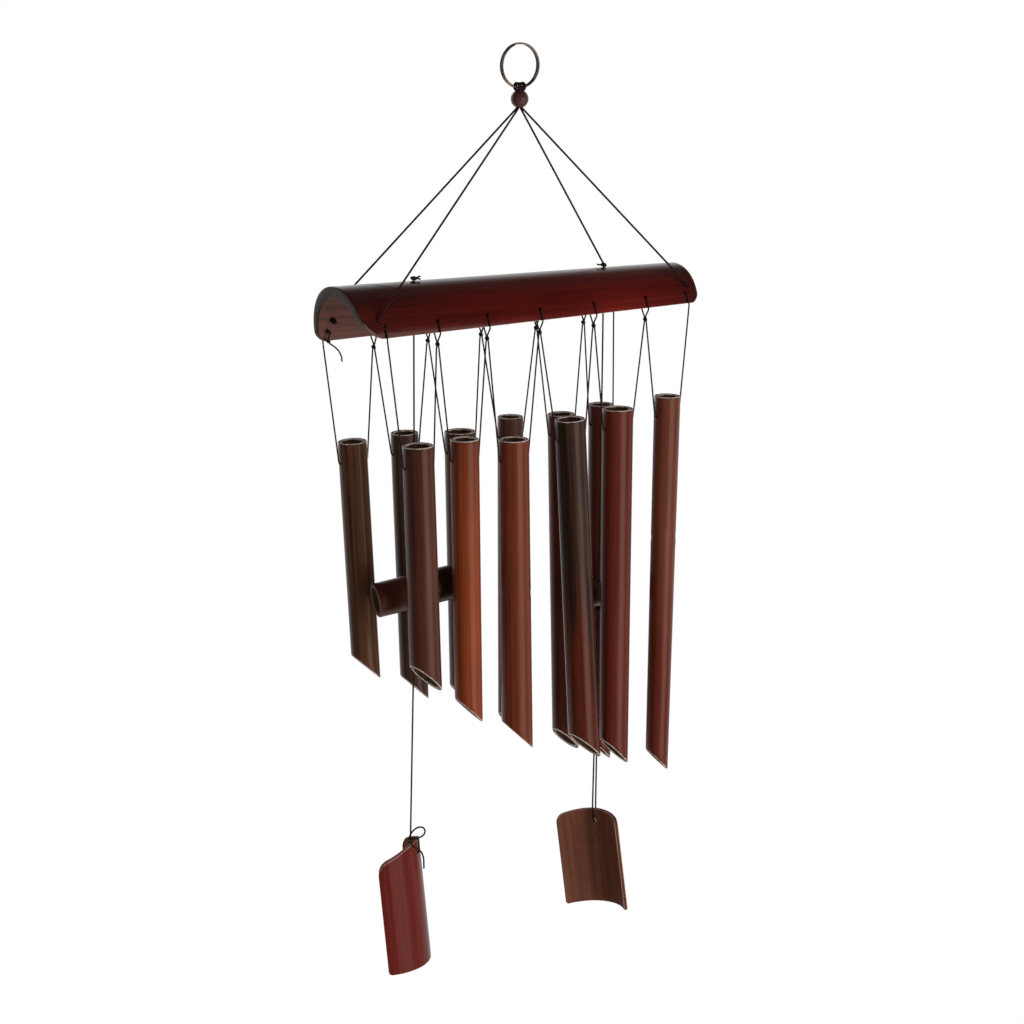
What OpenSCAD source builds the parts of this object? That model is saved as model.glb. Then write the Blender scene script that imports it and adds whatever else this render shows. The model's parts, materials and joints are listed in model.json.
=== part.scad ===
// Bamboo wind chime: a split-culm roof hung from a steel split ring, two rows of six bamboo tubes,
// two short bamboo strikers between the rows, and a split-bamboo sail under each striker.
// Millimetres. The origin is the inner top of the ring, where a hook carries it.
// X runs along the roof, -Y is the front row, +Z is up.

/* [Ring and bead] */
// clear inside diameter of the two-turn split ring
ring_id = 24.4; // [16:0.2:40]
// thickness of the ring's round wire
ring_wire = 1.3; // [0.8:0.1:2.5]
// clear gap between the two turns of the ring
ring_turn_gap = 0.6; // [0.45:0.05:1.5]
// part of a turn in which the wire steps from one turn to the other, degrees
ring_step = 40; // [20:5:80]
// diameter of the wooden bead
bead_d = 10.8; // [8:0.2:16]
// hole through the bead
bead_hole = 5.1; // [4.4:0.1:6]
// distance from the ring's lower wires to the bead's rim
bead_drop = 1.4; // [1:0.1:6]

/* [Roof] */
// length of the roof along its ridge
roof_len = 245.6; // [200:0.2:320]
// ridge end on the left, counted from the ring
roof_left = 127.6; // [80:0.5:170]
// outer radius of the culm at its left end
roof_r_left = 33; // [26:0.2:42]
// outer radius of the culm at its right end
roof_r_right = 31.4; // [26:0.2:42]
// wall of the culm
roof_wall = 5; // [3:0.25:8]
// depth of the culm's centre line under the ring
roof_depth = 168.4; // [120:0.5:240]
// height of the split plane over the centre line
split_rise = 3.3; // [-4:0.1:8]
// roll of the hanging roof, front eave up, degrees
roof_roll = 8.6; // [0:0.2:14]
// rise of the split plane towards the right, degrees
split_slope = 1.2; // [-2:0.1:2]
// lean of the end cuts, ridge outwards, degrees
end_lean = 9; // [0:0.5:25]
// rounding of the lower corners: left front, left back, right front, right back
corner_r = [16, 8, 8, 8]; // [3:0.5:20]
// how far the culm's bore lies under its centre line, which thickens the wall at the ridge
bore_drop = 1.6; // [0:0.1:3]

/* [Drilled holes of the roof] */
// distance of the eave holes from the eave, along the outside
eave_hole_up = 6.8; // [4:0.2:14]
// diameter of the eave holes
eave_hole_d = 2.6; // [2:0.1:4]
// inset of the first and last front hole from the ridge ends
front_inset = [16.8, 11.8]; // [9:0.2:30]
// inset of the first and last back hole from the ridge ends
back_inset = [11.2, 24.1]; // [9:0.2:30]
// how far each front hole was drilled off the even spacing
front_drift = [0, -0.3, -2.1, -0.8, 2.5, 5.2, 0]; // [-10:0.1:10]
// how far each back hole was drilled off the even spacing
back_drift = [0, -2.3, 0.5, 3.5, 8.9, 9.6, 0]; // [-10:0.1:10]
// hanger holes, front left, back left, back right, front right: inset from the ridge end
hanger_inset = [12.7, 13.5, 22.2, 8.8]; // [8:0.2:40]
// hanger holes in the same order: angle from the ridge, degrees
hanger_angle = [-61, 70, 70, -50]; // [-72:1:72]
// diameter of the hanger and ridge holes
hanger_hole_d = 2.8; // [2.2:0.1:4]

/* [Tubes] */
// length of the front tubes, top to tip
front_len = [152.5, 177, 196, 221, 230.5, 244.5]; // [120:0.5:300]
// length of the back tubes, top to tip
back_len = [152, 172, 183, 210, 226, 240]; // [120:0.5:300]
// diameter of the front tubes at the top
front_d = [18.7, 17.3, 18.6, 18.7, 19.4, 16.5]; // [14:0.1:24]
// diameter of the back tubes at the top
back_d = [17.7, 17.1, 19.6, 16.3, 17.5, 16.7]; // [14:0.1:24]
// natural taper of the front tubes, foot less top
front_taper = [0.4, -0.5, 0.6, 1.2, -1.2, -2]; // [-3:0.1:3]
// natural taper of the back tubes, foot less top
back_taper = [-0.4, 0.2, 0, 0.4, -0.3, -1]; // [-3:0.1:3]
// depth of the front tube tops under the culm's centre line
front_top = [59.1, 58.8, 62.6, 54.4, 51.4, 46.7]; // [35:0.1:120]
// depth of the back tube tops under the culm's centre line
back_top = [66.1, 64.3, 67.5, 61.8, 63.8, 61]; // [35:0.1:120]
// how far each front tube hangs off the middle of its two holes
front_shift = [4.3, 1.8, 0.7, 4, -0.3, 1.3]; // [-6:0.1:6]
// how far each back tube hangs off the middle of its two holes
back_shift = [2.3, 2.6, 4.2, 1.7, 2, 3.6]; // [-6:0.1:6]
// lean of the front tubes along the row, foot to the right, degrees
front_lean = [2.1, 1.2, 1.3, 3.8, 0.3, -0.6]; // [-5:0.1:5]
// lean of the back tubes along the row, foot to the right, degrees
back_lean = [3.4, 2.4, 1.5, 0.6, 1.7, 0.5]; // [-5:0.1:5]
// turn of the front tubes' slanted foot away from the row, degrees
front_turn = [35, 4, -6, 30, 24, 0]; // [-60:1:60]
// turn of the back tubes' slanted foot away from the row, degrees
back_turn = [0, 5, 0, 8, 28, 10]; // [-60:1:60]
// wall of the tubes
tube_wall = 2.2; // [1.4:0.1:4]
// slant of the foot cut, degrees
foot_slant = 45; // [20:1:60]
// depth of the cord holes under the tube's top
cord_hole_depth = 13; // [8:0.5:20]

/* [Cords] */
// cord that carries the tubes
tube_cord_d = 1; // [0.7:0.1:1.6]
// cord that carries the roof
hanger_cord_d = 1.3; // [0.8:0.1:1.8]
// cord of the strikers and sails
striker_cord_d = 1.1; // [0.7:0.1:1.6]
// radius of the knots under the eaves
knot_r = 1.5; // [1.1:0.1:2.2]
// drop of those knots under the eaves
knot_drop = 7; // [4:0.2:14]
// clear gap round a cord, to a wall or to its knot
cord_gap = 0.3; // [0.3:0.05:0.6]

/* [Strikers] */
// inset of the striker cords from the left and right ridge ends
striker_inset = [54.1, 55]; // [35:0.1:80]
// depth of the strikers under the culm's centre line
striker_depth = [156.1, 176.3]; // [110:0.5:220]
// diameter of the strikers
striker_d = [21, 16]; // [12:0.2:24]
// length of the strikers
striker_len = [50, 38.5]; // [30:0.5:60]
// turn of the strikers about their cords at rest, degrees
striker_turn = [-14, 4]; // [-18:1:18]
// lean of the strikers, left end down, degrees
striker_lean = [9.5, 1]; // [-12:0.5:12]
// wall of the strikers
striker_wall = 2.6; // [1.6:0.1:4]
// radius of the stop knot under each striker
stop_knot_r = 2.2; // [1.6:0.1:3]

/* [Sails] */
// drop from each striker's middle to the hole of its sail
sail_drop = [167.5, 152.5]; // [90:0.5:240]
// outer radius of the split culm
sail_r = [25.5, 28.5]; // [16:0.5:40]
// arc of the split culm, degrees
sail_arc = [146, 110]; // [60:1:176]
// height of the sails at the middle
sail_len = [81, 64]; // [40:0.5:110]
// rise of the rounded top over its corners
sail_arch = [9.5, 3]; // [2:0.5:12]
// wall of the sails
sail_wall = 2.4; // [1.4:0.1:4]
// depth of the cord hole under the top
sail_hole_depth = [8, 8]; // [5:0.5:14]
// diameter of the cord hole
sail_hole_d = 2.6; // [2.4:0.1:4]
// distance of each sail's wall from its cord, at the hole, towards the rounded outside
sail_out = [0.8, 0]; // [0:0.1:3]
// direction that the rounded outside faces, degrees from +X
sail_turn = [-50, 26]; // [-180:1:180]
// lean of the sails, foot towards the rounded outside, degrees
sail_lean = [5, 3]; // [0:0.5:14]
// sideways lean of the sails, degrees
sail_tip = [2, -6.5]; // [-8:0.5:8]

/* [Hidden] */
FRONT = -1;
BACK = 1;
LEFT = 0;
RIGHT = 1;
lacquer = [0.36, 0.07, 0.05];
cord_black = [0.09, 0.06, 0.05];
steel = [0.72, 0.70, 0.67];
front_colors = [
    [0.24, 0.09, 0.07], [0.55, 0.24, 0.10], [0.38, 0.15, 0.09],
    [0.29, 0.18, 0.12], [0.38, 0.10, 0.09], [0.36, 0.14, 0.10]
];
back_colors = [
    [0.26, 0.16, 0.11], [0.22, 0.10, 0.08], [0.20, 0.09, 0.07],
    [0.42, 0.17, 0.09], [0.27, 0.10, 0.08], [0.29, 0.11, 0.09]
];
eps = 0.01;
cord_sides = 8;
ring_sides = 10;
deg = 180 / PI;

// Places of the ring, the bead and the roof.
ring_r = (ring_id + ring_wire) / 2;
ring_z = -ring_id / 2;
ring_pitch = ring_wire + ring_turn_gap;
ring_foot = ring_z - ring_r;
bead_bore = max(bead_hole, 3.9 * hanger_cord_d);
bead_half = sqrt(pow(bead_d / 2, 2) - pow(bead_bore / 2, 2));
bead_z = ring_foot - ring_wire / 2 - bead_drop - bead_half;
roof_z = -roof_depth;
roof_right = roof_len - roof_left;
roof_mid = (roof_right - roof_left) / 2;

// Points are [x, y, z], and a cord's route adds its radius there: [x, y, z, r].
function xyz(p) = [p[0], p[1], p[2]];
function unit(v) = v / norm(v);
function with_r(p, r) = [p[0], p[1], p[2], r];
function way(p, i) = unit(xyz(p[i + 1]) - xyz(p[i]));
function tangent(p, i) =
    i == 0 ? way(p, 0) : i == len(p) - 1 ? way(p, i - 1) : unit(way(p, i - 1) + way(p, i));
function square_to(n, t) = unit(n - (n * t) * t);
function first_normal(t) = square_to(abs(t[0]) < 0.8 ? [1, 0, 0] : [0, 1, 0], t);

// Normals carried along a route without twist.
function normals(p, i, n) =
    i == len(p) ? [] :
    let (m = square_to(n, tangent(p, i))) concat([m], normals(p, i + 1, m));

// A route with its corners rounded: each inner point becomes a short curve of its own.
function eased(p, reach, steps) = concat(
    [p[0]],
    [for (i = [1 : len(p) - 2])
        let (
            before = norm(xyz(p[i]) - xyz(p[i - 1])),
            after = norm(xyz(p[i + 1]) - xyz(p[i])),
            a = p[i] + (p[i - 1] - p[i]) * min(reach / before, 0.45),
            b = p[i] + (p[i + 1] - p[i]) * min(reach / after, 0.45)
        )
        for (k = [0 : steps])
            let (t = k / steps)
            a * pow(1 - t, 2) + p[i] * 2 * t * (1 - t) + b * pow(t, 2)],
    [p[len(p) - 1]]
);

// A closed tube swept along a route.
module sweep(p, sides = cord_sides) {
    n = normals(p, 0, first_normal(tangent(p, 0)));
    last = len(p) - 1;
    points = [for (i = [0 : last], k = [0 : sides - 1])
        let (b = cross(tangent(p, i), n[i]), a = 360 * k / sides)
        xyz(p[i]) + p[i][3] * (cos(a) * n[i] + sin(a) * b)];
    walls = [for (i = [0 : last - 1], k = [0 : sides - 1], half = [0, 1])
        let (
            low = i * sides + k,
            side = i * sides + (k + 1) % sides
        )
        half == 0 ? [low, low + sides, side] : [side, low + sides, side + sides]];
    caps = [for (k = [1 : sides - 2], end = [0, 1])
        end == 0 ? [0, k, k + 1] : [last * sides, last * sides + k + 1, last * sides + k]];
    polyhedron(points, concat(walls, caps), convexity = 6);
}

// A knot on a route: its swelling about the point c, along the direction d.
function knot(c, d, r, cord_r) = [
    with_r(c - d * r, r * 0.35),
    with_r(c - d * r * 0.75, r * 0.75),
    with_r(c, r),
    with_r(c + d * r * 0.75, r * 0.75),
    with_r(c + d * r * 1.1, cord_r)
];

// Roof: culm radius, split plane and eaves at a place along the length.
function culm_r(x) = roof_r_left + (roof_r_right - roof_r_left) * (x + roof_left) / roof_len;
function split_h(x) = split_rise + tan(split_slope) * x;
function eave_angle(x, side, r) = roof_roll + side * acos(split_h(x) * cos(roof_roll) / r);
function on_culm(x, r, a) = [x, r * sin(a), roof_z + r * cos(a)];
// Distance from the centre line to the bore, in the direction a.
function bore_r(x, a) =
    sqrt(pow(culm_r(x) - roof_wall, 2) - pow(bore_drop * sin(a), 2)) - bore_drop * cos(a);
function eave_hole_angle(x, side) =
    eave_angle(x, side, culm_r(x)) - side * eave_hole_up / culm_r(x) * deg;

// Eave holes: even spacing between the two insets, plus the drift of each.
function insets(side) = side == FRONT ? front_inset : back_inset;
function drifts(side) = side == FRONT ? front_drift : back_drift;
function hole_pitch(side) = (roof_len - insets(side)[0] - insets(side)[1]) / 6;
function hole_x(side, j) = -roof_left + insets(side)[0] + j * hole_pitch(side) + drifts(side)[j];

// Where the cords of the tubes are carried: a knot under an inner hole, the eave under an end hole.
function cord_off() = cord_gap + tube_cord_d / 2;
function eave_knot(side, j) =
    let (x = hole_x(side, j), r = culm_r(x) - roof_wall / 2)
    on_culm(x, r, eave_angle(x, side, r)) - [0, 0, knot_drop];
function eave_end(side, j) =
    let (x = hole_x(side, j), r = culm_r(x))
    on_culm(x, r + cord_off(), eave_angle(x, side, r) + side * 1.8);
function is_end(j) = j == 0 || j == 6;
function support(side, j) = is_end(j) ? eave_end(side, j) : eave_knot(side, j);

// A loop from its knot, up the outside, through the eave hole and down the inside to the knot.
function loop_route(side, j) =
    let (
        c = tube_cord_d / 2,
        k = eave_knot(side, j),
        x = hole_x(side, j),
        outer = culm_r(x) + cord_off(),
        a = eave_hole_angle(x, side),
        low_out = eave_angle(x, side, culm_r(x)) + side * 1.5,
        low_in = eave_angle(x, side, culm_r(x) - roof_wall) + side * 1.5,
        rest = k + unit([0, -side * 0.62, 0.78]) * (knot_r + 0.15)
    )
    concat(
        knot(k, [0, 0, 1], knot_r, c),
        eased([
            with_r(k + [0, side * 0.3, knot_r * 1.4], c),
            with_r(on_culm(x, outer, low_out), c),
            with_r(on_culm(x, outer, a), c),
            with_r(on_culm(x, bore_r(x, a) - cord_off(), a), c),
            with_r(on_culm(x, bore_r(x, low_in) - cord_off(), low_in), c),
            with_r(rest, c)
        ], 1.4, 4)
    );

// The end of a row's cord: a knot inside, through the end hole and down the outside to the eave.
function end_route(side, j) =
    let (
        c = tube_cord_d / 2,
        x = hole_x(side, j),
        r = culm_r(x),
        a = eave_hole_angle(x, side),
        out = unit(on_culm(x, 1, a) - on_culm(x, 0, a)),
        k = on_culm(x, bore_r(x, a) - knot_r - cord_gap, a)
    )
    concat(
        knot(k, out, knot_r, c),
        eased([
            with_r(on_culm(x, bore_r(x, a), a), c),
            with_r(on_culm(x, r + cord_off(), a), c),
            with_r(on_culm(x, r + cord_off(), eave_angle(x, side, r)), c),
            with_r(eave_end(side, j), c)
        ], 1.2, 4)
    );

// Tubes: the middle of the cord through the tube, and points in the tube's own leaning frame.
function lens(side) = side == FRONT ? front_len : back_len;
function tops(side) = side == FRONT ? front_top : back_top;
function leans(side) = side == FRONT ? front_lean : back_lean;
function shifts(side) = side == FRONT ? front_shift : back_shift;
function turns(side) = side == FRONT ? front_turn : back_turn;
function tube_d(side, i) = (side == FRONT ? front_d : back_d)[i];
function foot_d(side, i) = tube_d(side, i) + (side == FRONT ? front_taper : back_taper)[i];
function d_at_hole(side, i) =
    tube_d(side, i) + (foot_d(side, i) - tube_d(side, i)) * cord_hole_depth / lens(side)[i];
function tube_x(side, i) = (hole_x(side, i) + hole_x(side, i + 1)) / 2 + shifts(side)[i];

// A tube hangs under the line through its two supports, which is also the line that it swings about.
function tube_y(side, i) =
    let (
        a = support(side, i),
        b = support(side, i + 1),
        heavy_x = tube_x(side, i) + lens(side)[i] / 2 * sin(leans(side)[i])
    )
    a[1] + (b[1] - a[1]) * (heavy_x - a[0]) / (b[0] - a[0]);
function tube_mid(side, i) =
    [tube_x(side, i), tube_y(side, i), roof_z - tops(side)[i] - cord_hole_depth];
function in_tube(side, i, u, w) =
    let (a = leans(side)[i])
    tube_mid(side, i) + [u * cos(a) - w * sin(a), 0, u * sin(a) + w * cos(a)];

// The cord of one tube: down from its left support, across through the tube, up to its right one.
strand_start = knot_r + cord_gap + 0.15;
strand_apart = (tube_cord_d + cord_gap) / 2 + 0.15;
function strand_top(side, j, towards) =
    is_end(j) ? eave_end(side, j) - [0, 0, cord_gap + 0.2]
    : eave_knot(side, j) + [towards * strand_apart, 0, -strand_start];
function cord_route(side, i) =
    let (c = tube_cord_d / 2, u = d_at_hole(side, i) / 2 + cord_off() + 0.15)
    eased([
        with_r(strand_top(side, i, 1), c),
        with_r(in_tube(side, i, -u, 0), c),
        with_r(in_tube(side, i, u, 0), c),
        with_r(strand_top(side, i + 1, -1), c)
    ], 1.6, 5);

// Hanger cords: from a knot inside the roof, up through the bead, over the ring and down again.
function hanger_x(h) = h < 2 ? -roof_left + hanger_inset[h] : roof_right - hanger_inset[h];
hanger_off = cord_gap + hanger_cord_d / 2;
hanger_knot_r = 1.9;
saddle_r = ring_pitch / 2 + ring_wire / 2 + hanger_off;
saddle_x = hanger_cord_d / 2 + 0.25;
bead_lane = hanger_cord_d / 2 + 0.1;
function hanger_end(h) =
    let (
        c = hanger_cord_d / 2,
        x = hanger_x(h),
        a = hanger_angle[h],
        r = culm_r(x),
        out = unit(on_culm(x, 1, a) - on_culm(x, 0, a))
    )
    concat(
        knot(on_culm(x, bore_r(x, a) - hanger_knot_r - cord_gap, a), out, hanger_knot_r, c),
        [with_r(on_culm(x, r - roof_wall / 2, a), c), with_r(on_culm(x, r + hanger_off, a), c)]
    );
function turned(p) = [for (i = [len(p) - 1 : -1 : 0]) p[i]];
function saddle_point(x, a) = [x, -saddle_r * cos(a), ring_foot + saddle_r * sin(a)];
function hanger_route(front, back, x) =
    let (
        c = hanger_cord_d / 2,
        up = hanger_end(front),
        down = turned(hanger_end(back)),
        knots = len(up) - 1,
        lane_top = bead_z + bead_half - 2.4,
        lane_foot = bead_z - bead_half - 0.2,
        saddle = [for (a = [-54 : 24 : 234]) with_r(saddle_point(x, a), c)]
    )
    concat(
        [for (i = [0 : knots - 2]) up[i]],
        eased(concat(
            [up[knots - 1], up[knots], with_r([x, -bead_lane, lane_foot], c),
                with_r([x, -bead_lane, lane_top], c)],
            [saddle[0]]
        ), 1.5, 4),
        [for (i = [1 : len(saddle) - 2]) saddle[i]],
        eased(concat(
            [saddle[len(saddle) - 1]],
            [with_r([x, bead_lane, lane_top], c), with_r([x, bead_lane, lane_foot], c), down[0], down[1]]
        ), 1.5, 4),
        [for (i = [2 : knots]) down[i]]
    );

// Strikers, from the ridge down to the stop knot.
function striker_x(s) = s == LEFT ? -roof_left + striker_inset[0] : roof_right - striker_inset[1];
function striker_z(s) = roof_z - striker_depth[s];
function striker_foot(s) = striker_z(s) - striker_d[s] / 2 / cos(striker_lean[s]);
function stop_knot_z(s) = striker_foot(s) - cord_gap - stop_knot_r;
function ridge_in(s) = roof_z + bore_r(striker_x(s), 0);
function striker_pivot(s) = [striker_x(s), 0, ridge_in(s)];

// Sails: a point of a sail's own frame, whose origin is its cord hole and whose +X is the outside.
function sail_hole(s) =
    [striker_x(s), 0, striker_z(s) - sail_drop[s]] + yawed([sail_out[s], 0, 0], sail_turn[s]);
function tipped(p, a) = [p[0], p[1] * cos(a) - p[2] * sin(a), p[1] * sin(a) + p[2] * cos(a)];
function leaned(p, a) = [p[0] * cos(a) - p[2] * sin(a), p[1], p[0] * sin(a) + p[2] * cos(a)];
function yawed(p, a) = [p[0] * cos(a) - p[1] * sin(a), p[0] * sin(a) + p[1] * cos(a), p[2]];
function in_sail(s, p) =
    sail_hole(s) + yawed(leaned(tipped(p, sail_tip[s]), sail_lean[s]), sail_turn[s]);
sail_off = sail_wall / 2 + cord_gap + striker_cord_d / 2;
bow_knot_r = 1.7;
bow_knot_up = 6;
function bow_knot(s) = in_sail(s, [-sail_wall / 2 - cord_gap - bow_knot_r, 0, bow_knot_up]);

// Two turns of wire in one piece, each flat, with a step from one to the other at the side.
ring_sweep = 720 - ring_step;
ring_rings = 84;
function step_share(a) =
    let (t = min(1, max(0, (a - (360 - ring_step)) / ring_step))) t * t * (3 - 2 * t);
ring_route = [for (i = [0 : ring_rings])
    let (a = ring_sweep * i / ring_rings)
    [ring_r * cos(a), ring_pitch * (step_share(a) - 0.5), ring_z + ring_r * sin(a), ring_wire / 2]];
quarter = ceil(ring_rings / 8);
ring_self_gap = min([for (i = [0 : ring_rings - quarter], j = [i + quarter : ring_rings])
    norm(xyz(ring_route[i]) - xyz(ring_route[j]))]) - ring_wire;
echo(ring_self_gap = ring_self_gap);

module hang_ring() {
    color(steel) sweep(ring_route, ring_sides);
}

module bead() {
    color([0.34, 0.14, 0.09])
        translate([0, 0, bead_z])
        difference() {
            sphere(d = bead_d, $fn = 48);
            cylinder(d = bead_bore, h = bead_d + 2, center = true, $fn = 32);
        }
}

module hanger_cord_left() {
    color(cord_black) sweep(hanger_route(0, 1, -saddle_x));
}

module hanger_cord_right() {
    color(cord_black) sweep(hanger_route(3, 2, saddle_x));
}

// A culm lies along X, widest at the left.
module culm(inset, over) {
    grow = (roof_r_right - roof_r_left) / roof_len;
    translate([-roof_left - over, 0, 0])
        rotate([0, 90, 0])
        cylinder(
            h = roof_len + 2 * over,
            r1 = roof_r_left - inset - grow * over,
            r2 = roof_r_right - inset + grow * over,
            $fn = 96
        );
}

// A hole drilled square to the culm's surface.
module culm_drill(x, a, d) {
    translate([x, 0, 0])
        rotate([-a, 0, 0])
        cylinder(d = d, h = culm_r(x) + 10, $fn = 24);
}

// What an end cut takes away: the part outside a plane that leans outwards from eave to ridge.
module end_cut(end) {
    x = end == LEFT ? -roof_left : roof_right;
    out = end == LEFT ? -1 : 1;
    translate([x, 0, culm_r(x)])
        rotate([0, out * end_lean, 0])
        translate([out * 40, 0, 0])
        cube([80, 200, 220], center = true);
}

// What the rounding of a lower corner takes away. Its arc reaches a little past the end face and the
// split plane, so that it crosses both: an arc that only touched them would leave slivers.
module corner_cut(end, side) {
    round_r = corner_r[(end == LEFT ? 0 : 2) + (side == FRONT ? 0 : 1)];
    x0 = end == LEFT ? -roof_left : roof_right;
    out = end == LEFT ? -1 : 1;
    r = culm_r(x0);
    low = on_culm(x0, r, eave_angle(x0, side, r))[2] - roof_z;
    x = x0 - out * (r - low) * tan(end_lean);
    past_end = 0.2;
    past_eave = side == FRONT ? 1.1 : 0.4;
    cx = x - out * (round_r * (1 - sin(end_lean)) / cos(end_lean) - past_end);
    cz = low + round_r - past_eave;
    edge = [cx + out * round_r * cos(end_lean), cz - round_r * sin(end_lean)];
    translate([0, side == FRONT ? 0 : 60, 0])
        rotate([90, 0, 0])
        linear_extrude(60)
        difference() {
            polygon([
                [cx, cz],
                [cx, low - 3],
                [x + out * 4, low - 3],
                [edge[0] + out * 4, edge[1]],
                edge
            ]);
            translate([cx, cz]) circle(r = round_r, $fn = 64);
        }
}

module roof() {
    color(lacquer)
        translate([0, 0, roof_z])
        difference() {
            culm(0, 0);
            translate([0, 0, -bore_drop]) culm(roof_wall, 5);
            translate([0, 0, split_rise])
                rotate([-roof_roll, -split_slope, 0])
                translate([roof_mid, 0, -50])
                cube([roof_len + 60, 200, 100], center = true);
            for (end = [LEFT, RIGHT]) end_cut(end);
            for (end = [LEFT, RIGHT], side = [FRONT, BACK]) corner_cut(end, side);
            for (side = [FRONT, BACK], j = [0 : 6])
                culm_drill(hole_x(side, j), eave_hole_angle(hole_x(side, j), side), eave_hole_d);
            for (h = [0 : 3]) culm_drill(hanger_x(h), hanger_angle[h], hanger_hole_d);
            for (s = [LEFT, RIGHT]) culm_drill(striker_x(s), 0, hanger_hole_d);
        }
}

module eave_loops(side) {
    color(cord_black) {
        for (j = [1 : 5]) sweep(loop_route(side, j));
        for (j = [0, 6]) sweep(end_route(side, j));
    }
}

// The loose tail at the first knot of the back row: knotted once more at the rim, then curling out under it.
tail_curl = [[0.3, -0.3, -0.8, 0.5], [-0.7, -0.8, -3.4, 0.5], [-1.2, -0.9, -4.4, 1.25],
    [-0.8, -1.1, -6, 1.25], [0, -1.3, -6.8, 0.5], [2.2, -1.6, -8.2, 0.5],
    [5.4, -2, -11.2, 0.5], [7.2, -2.2, -15, 0.5], [7.4, -2.2, -17.7, 0.5]];
module loose_tail() {
    x = hole_x(BACK, 0);
    a = eave_hole_angle(x, BACK);
    k = on_culm(x, bore_r(x, a) - knot_r - cord_gap, a);
    curl = [for (p = tail_curl) with_r(k + xyz(p), p[3] * tube_cord_d)];
    color(cord_black) sweep(eased(curl, 0.6, 3));
}

module front_eave_loops() {
    eave_loops(FRONT);
}

module back_eave_loops() {
    eave_loops(BACK);
    loose_tail();
}

// A bamboo tube: open at both ends, its foot cut on a slant, with a cord hole in each side.
module tube(side, i) {
    length = lens(side)[i];
    top_d = tube_d(side, i);
    low_d = foot_d(side, i);
    foot = cord_hole_depth - length;
    translate(tube_mid(side, i))
        rotate([0, -leans(side)[i], 0])
        difference() {
            translate([0, 0, foot])
                cylinder(d1 = low_d, d2 = top_d, h = length, $fn = 64);
            translate([0, 0, foot])
                cylinder(d1 = low_d - 2 * tube_wall, d2 = top_d - 2 * tube_wall, h = length + eps, $fn = 64);
            translate([0, 0, foot - eps])
                cylinder(d = low_d - 2 * tube_wall, h = 1, $fn = 64);
            rotate([0, 0, turns(side)[i]])
                translate([low_d / 2, 0, foot])
                rotate([0, foot_slant, 0])
                translate([0, 0, -60])
                cube([200, 120, 120], center = true);
            rotate([0, 90, 0])
                cylinder(d = tube_cord_d + 2 * cord_gap + 0.1, h = top_d + 10, center = true, $fn = 20);
        }
}

module front_tube(i) {
    color(front_colors[i - 1]) tube(FRONT, i - 1);
}

module back_tube(i) {
    color(back_colors[i - 1]) tube(BACK, i - 1);
}

module front_cord(i) {
    color(cord_black) sweep(cord_route(FRONT, i - 1));
}

module back_cord(i) {
    color(cord_black) sweep(cord_route(BACK, i - 1));
}

// The knot on the ridge that a striker's cord hangs from, with its cut tails lying on the roof.
module ridge_knot(s, tails) {
    c = striker_cord_d / 2;
    top = roof_z + culm_r(striker_x(s));
    k = [striker_x(s), 0, top + cord_gap + stop_knot_r * 0.8];
    r = stop_knot_r * 0.8;
    color(cord_black) {
        sweep(concat(
            [with_r(striker_pivot(s), c), with_r([k[0], 0, top], c)],
            turned(knot(k, [0, 0, -1], r, c))
        ));
        for (tail = tails)
            sweep(eased([
                with_r(k + [sign(tail[0]) * (r + 0.1), 0, 0.1], c),
                with_r(k + [tail[0] * 0.5, tail[1] * 0.3, 0.6], c),
                with_r(k + [tail[0], tail[1], tail[2]], c)
            ], 2, 4));
    }
}

module ridge_knot_left() {
    ridge_knot(LEFT, [[7, -1.6, 1.2]]);
}

module ridge_knot_right() {
    ridge_knot(RIGHT, [[-6.5, 1, 0.6]]);
}

module striker_cord(s) {
    top = striker_pivot(s)[2] - cord_gap - 0.1;
    color(cord_black)
        translate([striker_x(s), 0, striker_foot(s)])
        cylinder(d = striker_cord_d, h = top - striker_foot(s), $fn = 16);
}

module striker_cord_left() {
    striker_cord(LEFT);
}

module striker_cord_right() {
    striker_cord(RIGHT);
}

// A short bamboo tube that hangs level on the cord through its middle.
module striker(s) {
    translate([striker_x(s), 0, striker_z(s)])
        difference() {
            rotate([0, 0, striker_turn[s]])
                rotate([0, 90 - striker_lean[s], 0])
                difference() {
                    cylinder(d = striker_d[s], h = striker_len[s], center = true, $fn = 64);
                    cylinder(d = striker_d[s] - 2 * striker_wall, h = striker_len[s] + 2, center = true,
                        $fn = 64);
                }
            cylinder(d = striker_cord_d + 2 * cord_gap + 0.1, h = striker_d[s] * 2, center = true, $fn = 20);
        }
}

module striker_left() {
    color([0.27, 0.10, 0.07]) striker(LEFT);
}

module striker_right() {
    color([0.37, 0.13, 0.08]) striker(RIGHT);
}

module stop_knot(s) {
    color(cord_black)
        translate([striker_x(s), 0, stop_knot_z(s)])
        sphere(r = stop_knot_r, $fn = 24);
}

module stop_knot_left() {
    stop_knot(LEFT);
}

module stop_knot_right() {
    stop_knot(RIGHT);
}

// One cord to the bow's knot on the inside, then through the sail's hole and back over its top.
module sail_cord_left() {
    s = LEFT;
    c = striker_cord_d / 2;
    k = bow_knot(s);
    over = sail_hole_depth[s] + cord_gap + c;
    start = [striker_x(s), 0, stop_knot_z(s) - stop_knot_r - cord_gap];
    beside = 1.1;
    color(cord_black) {
        sweep(concat([with_r(start, c)], turned(knot(k, unit(start - k), bow_knot_r, c))));
        sweep(eased([
            with_r(in_sail(s, [-sail_off - 0.6, 0, bow_knot_up - bow_knot_r - 0.2]), c),
            with_r(in_sail(s, [-sail_off, 0, 0]), c),
            with_r(in_sail(s, [sail_off, 0, 0]), c),
            with_r(in_sail(s, [sail_off, beside, over]), c),
            with_r(in_sail(s, [-sail_off, beside, over]), c),
            with_r(in_sail(s, [-sail_off - 0.6, beside, bow_knot_up + bow_knot_r]), c)
        ], 1.4, 4));
    }
}

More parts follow.
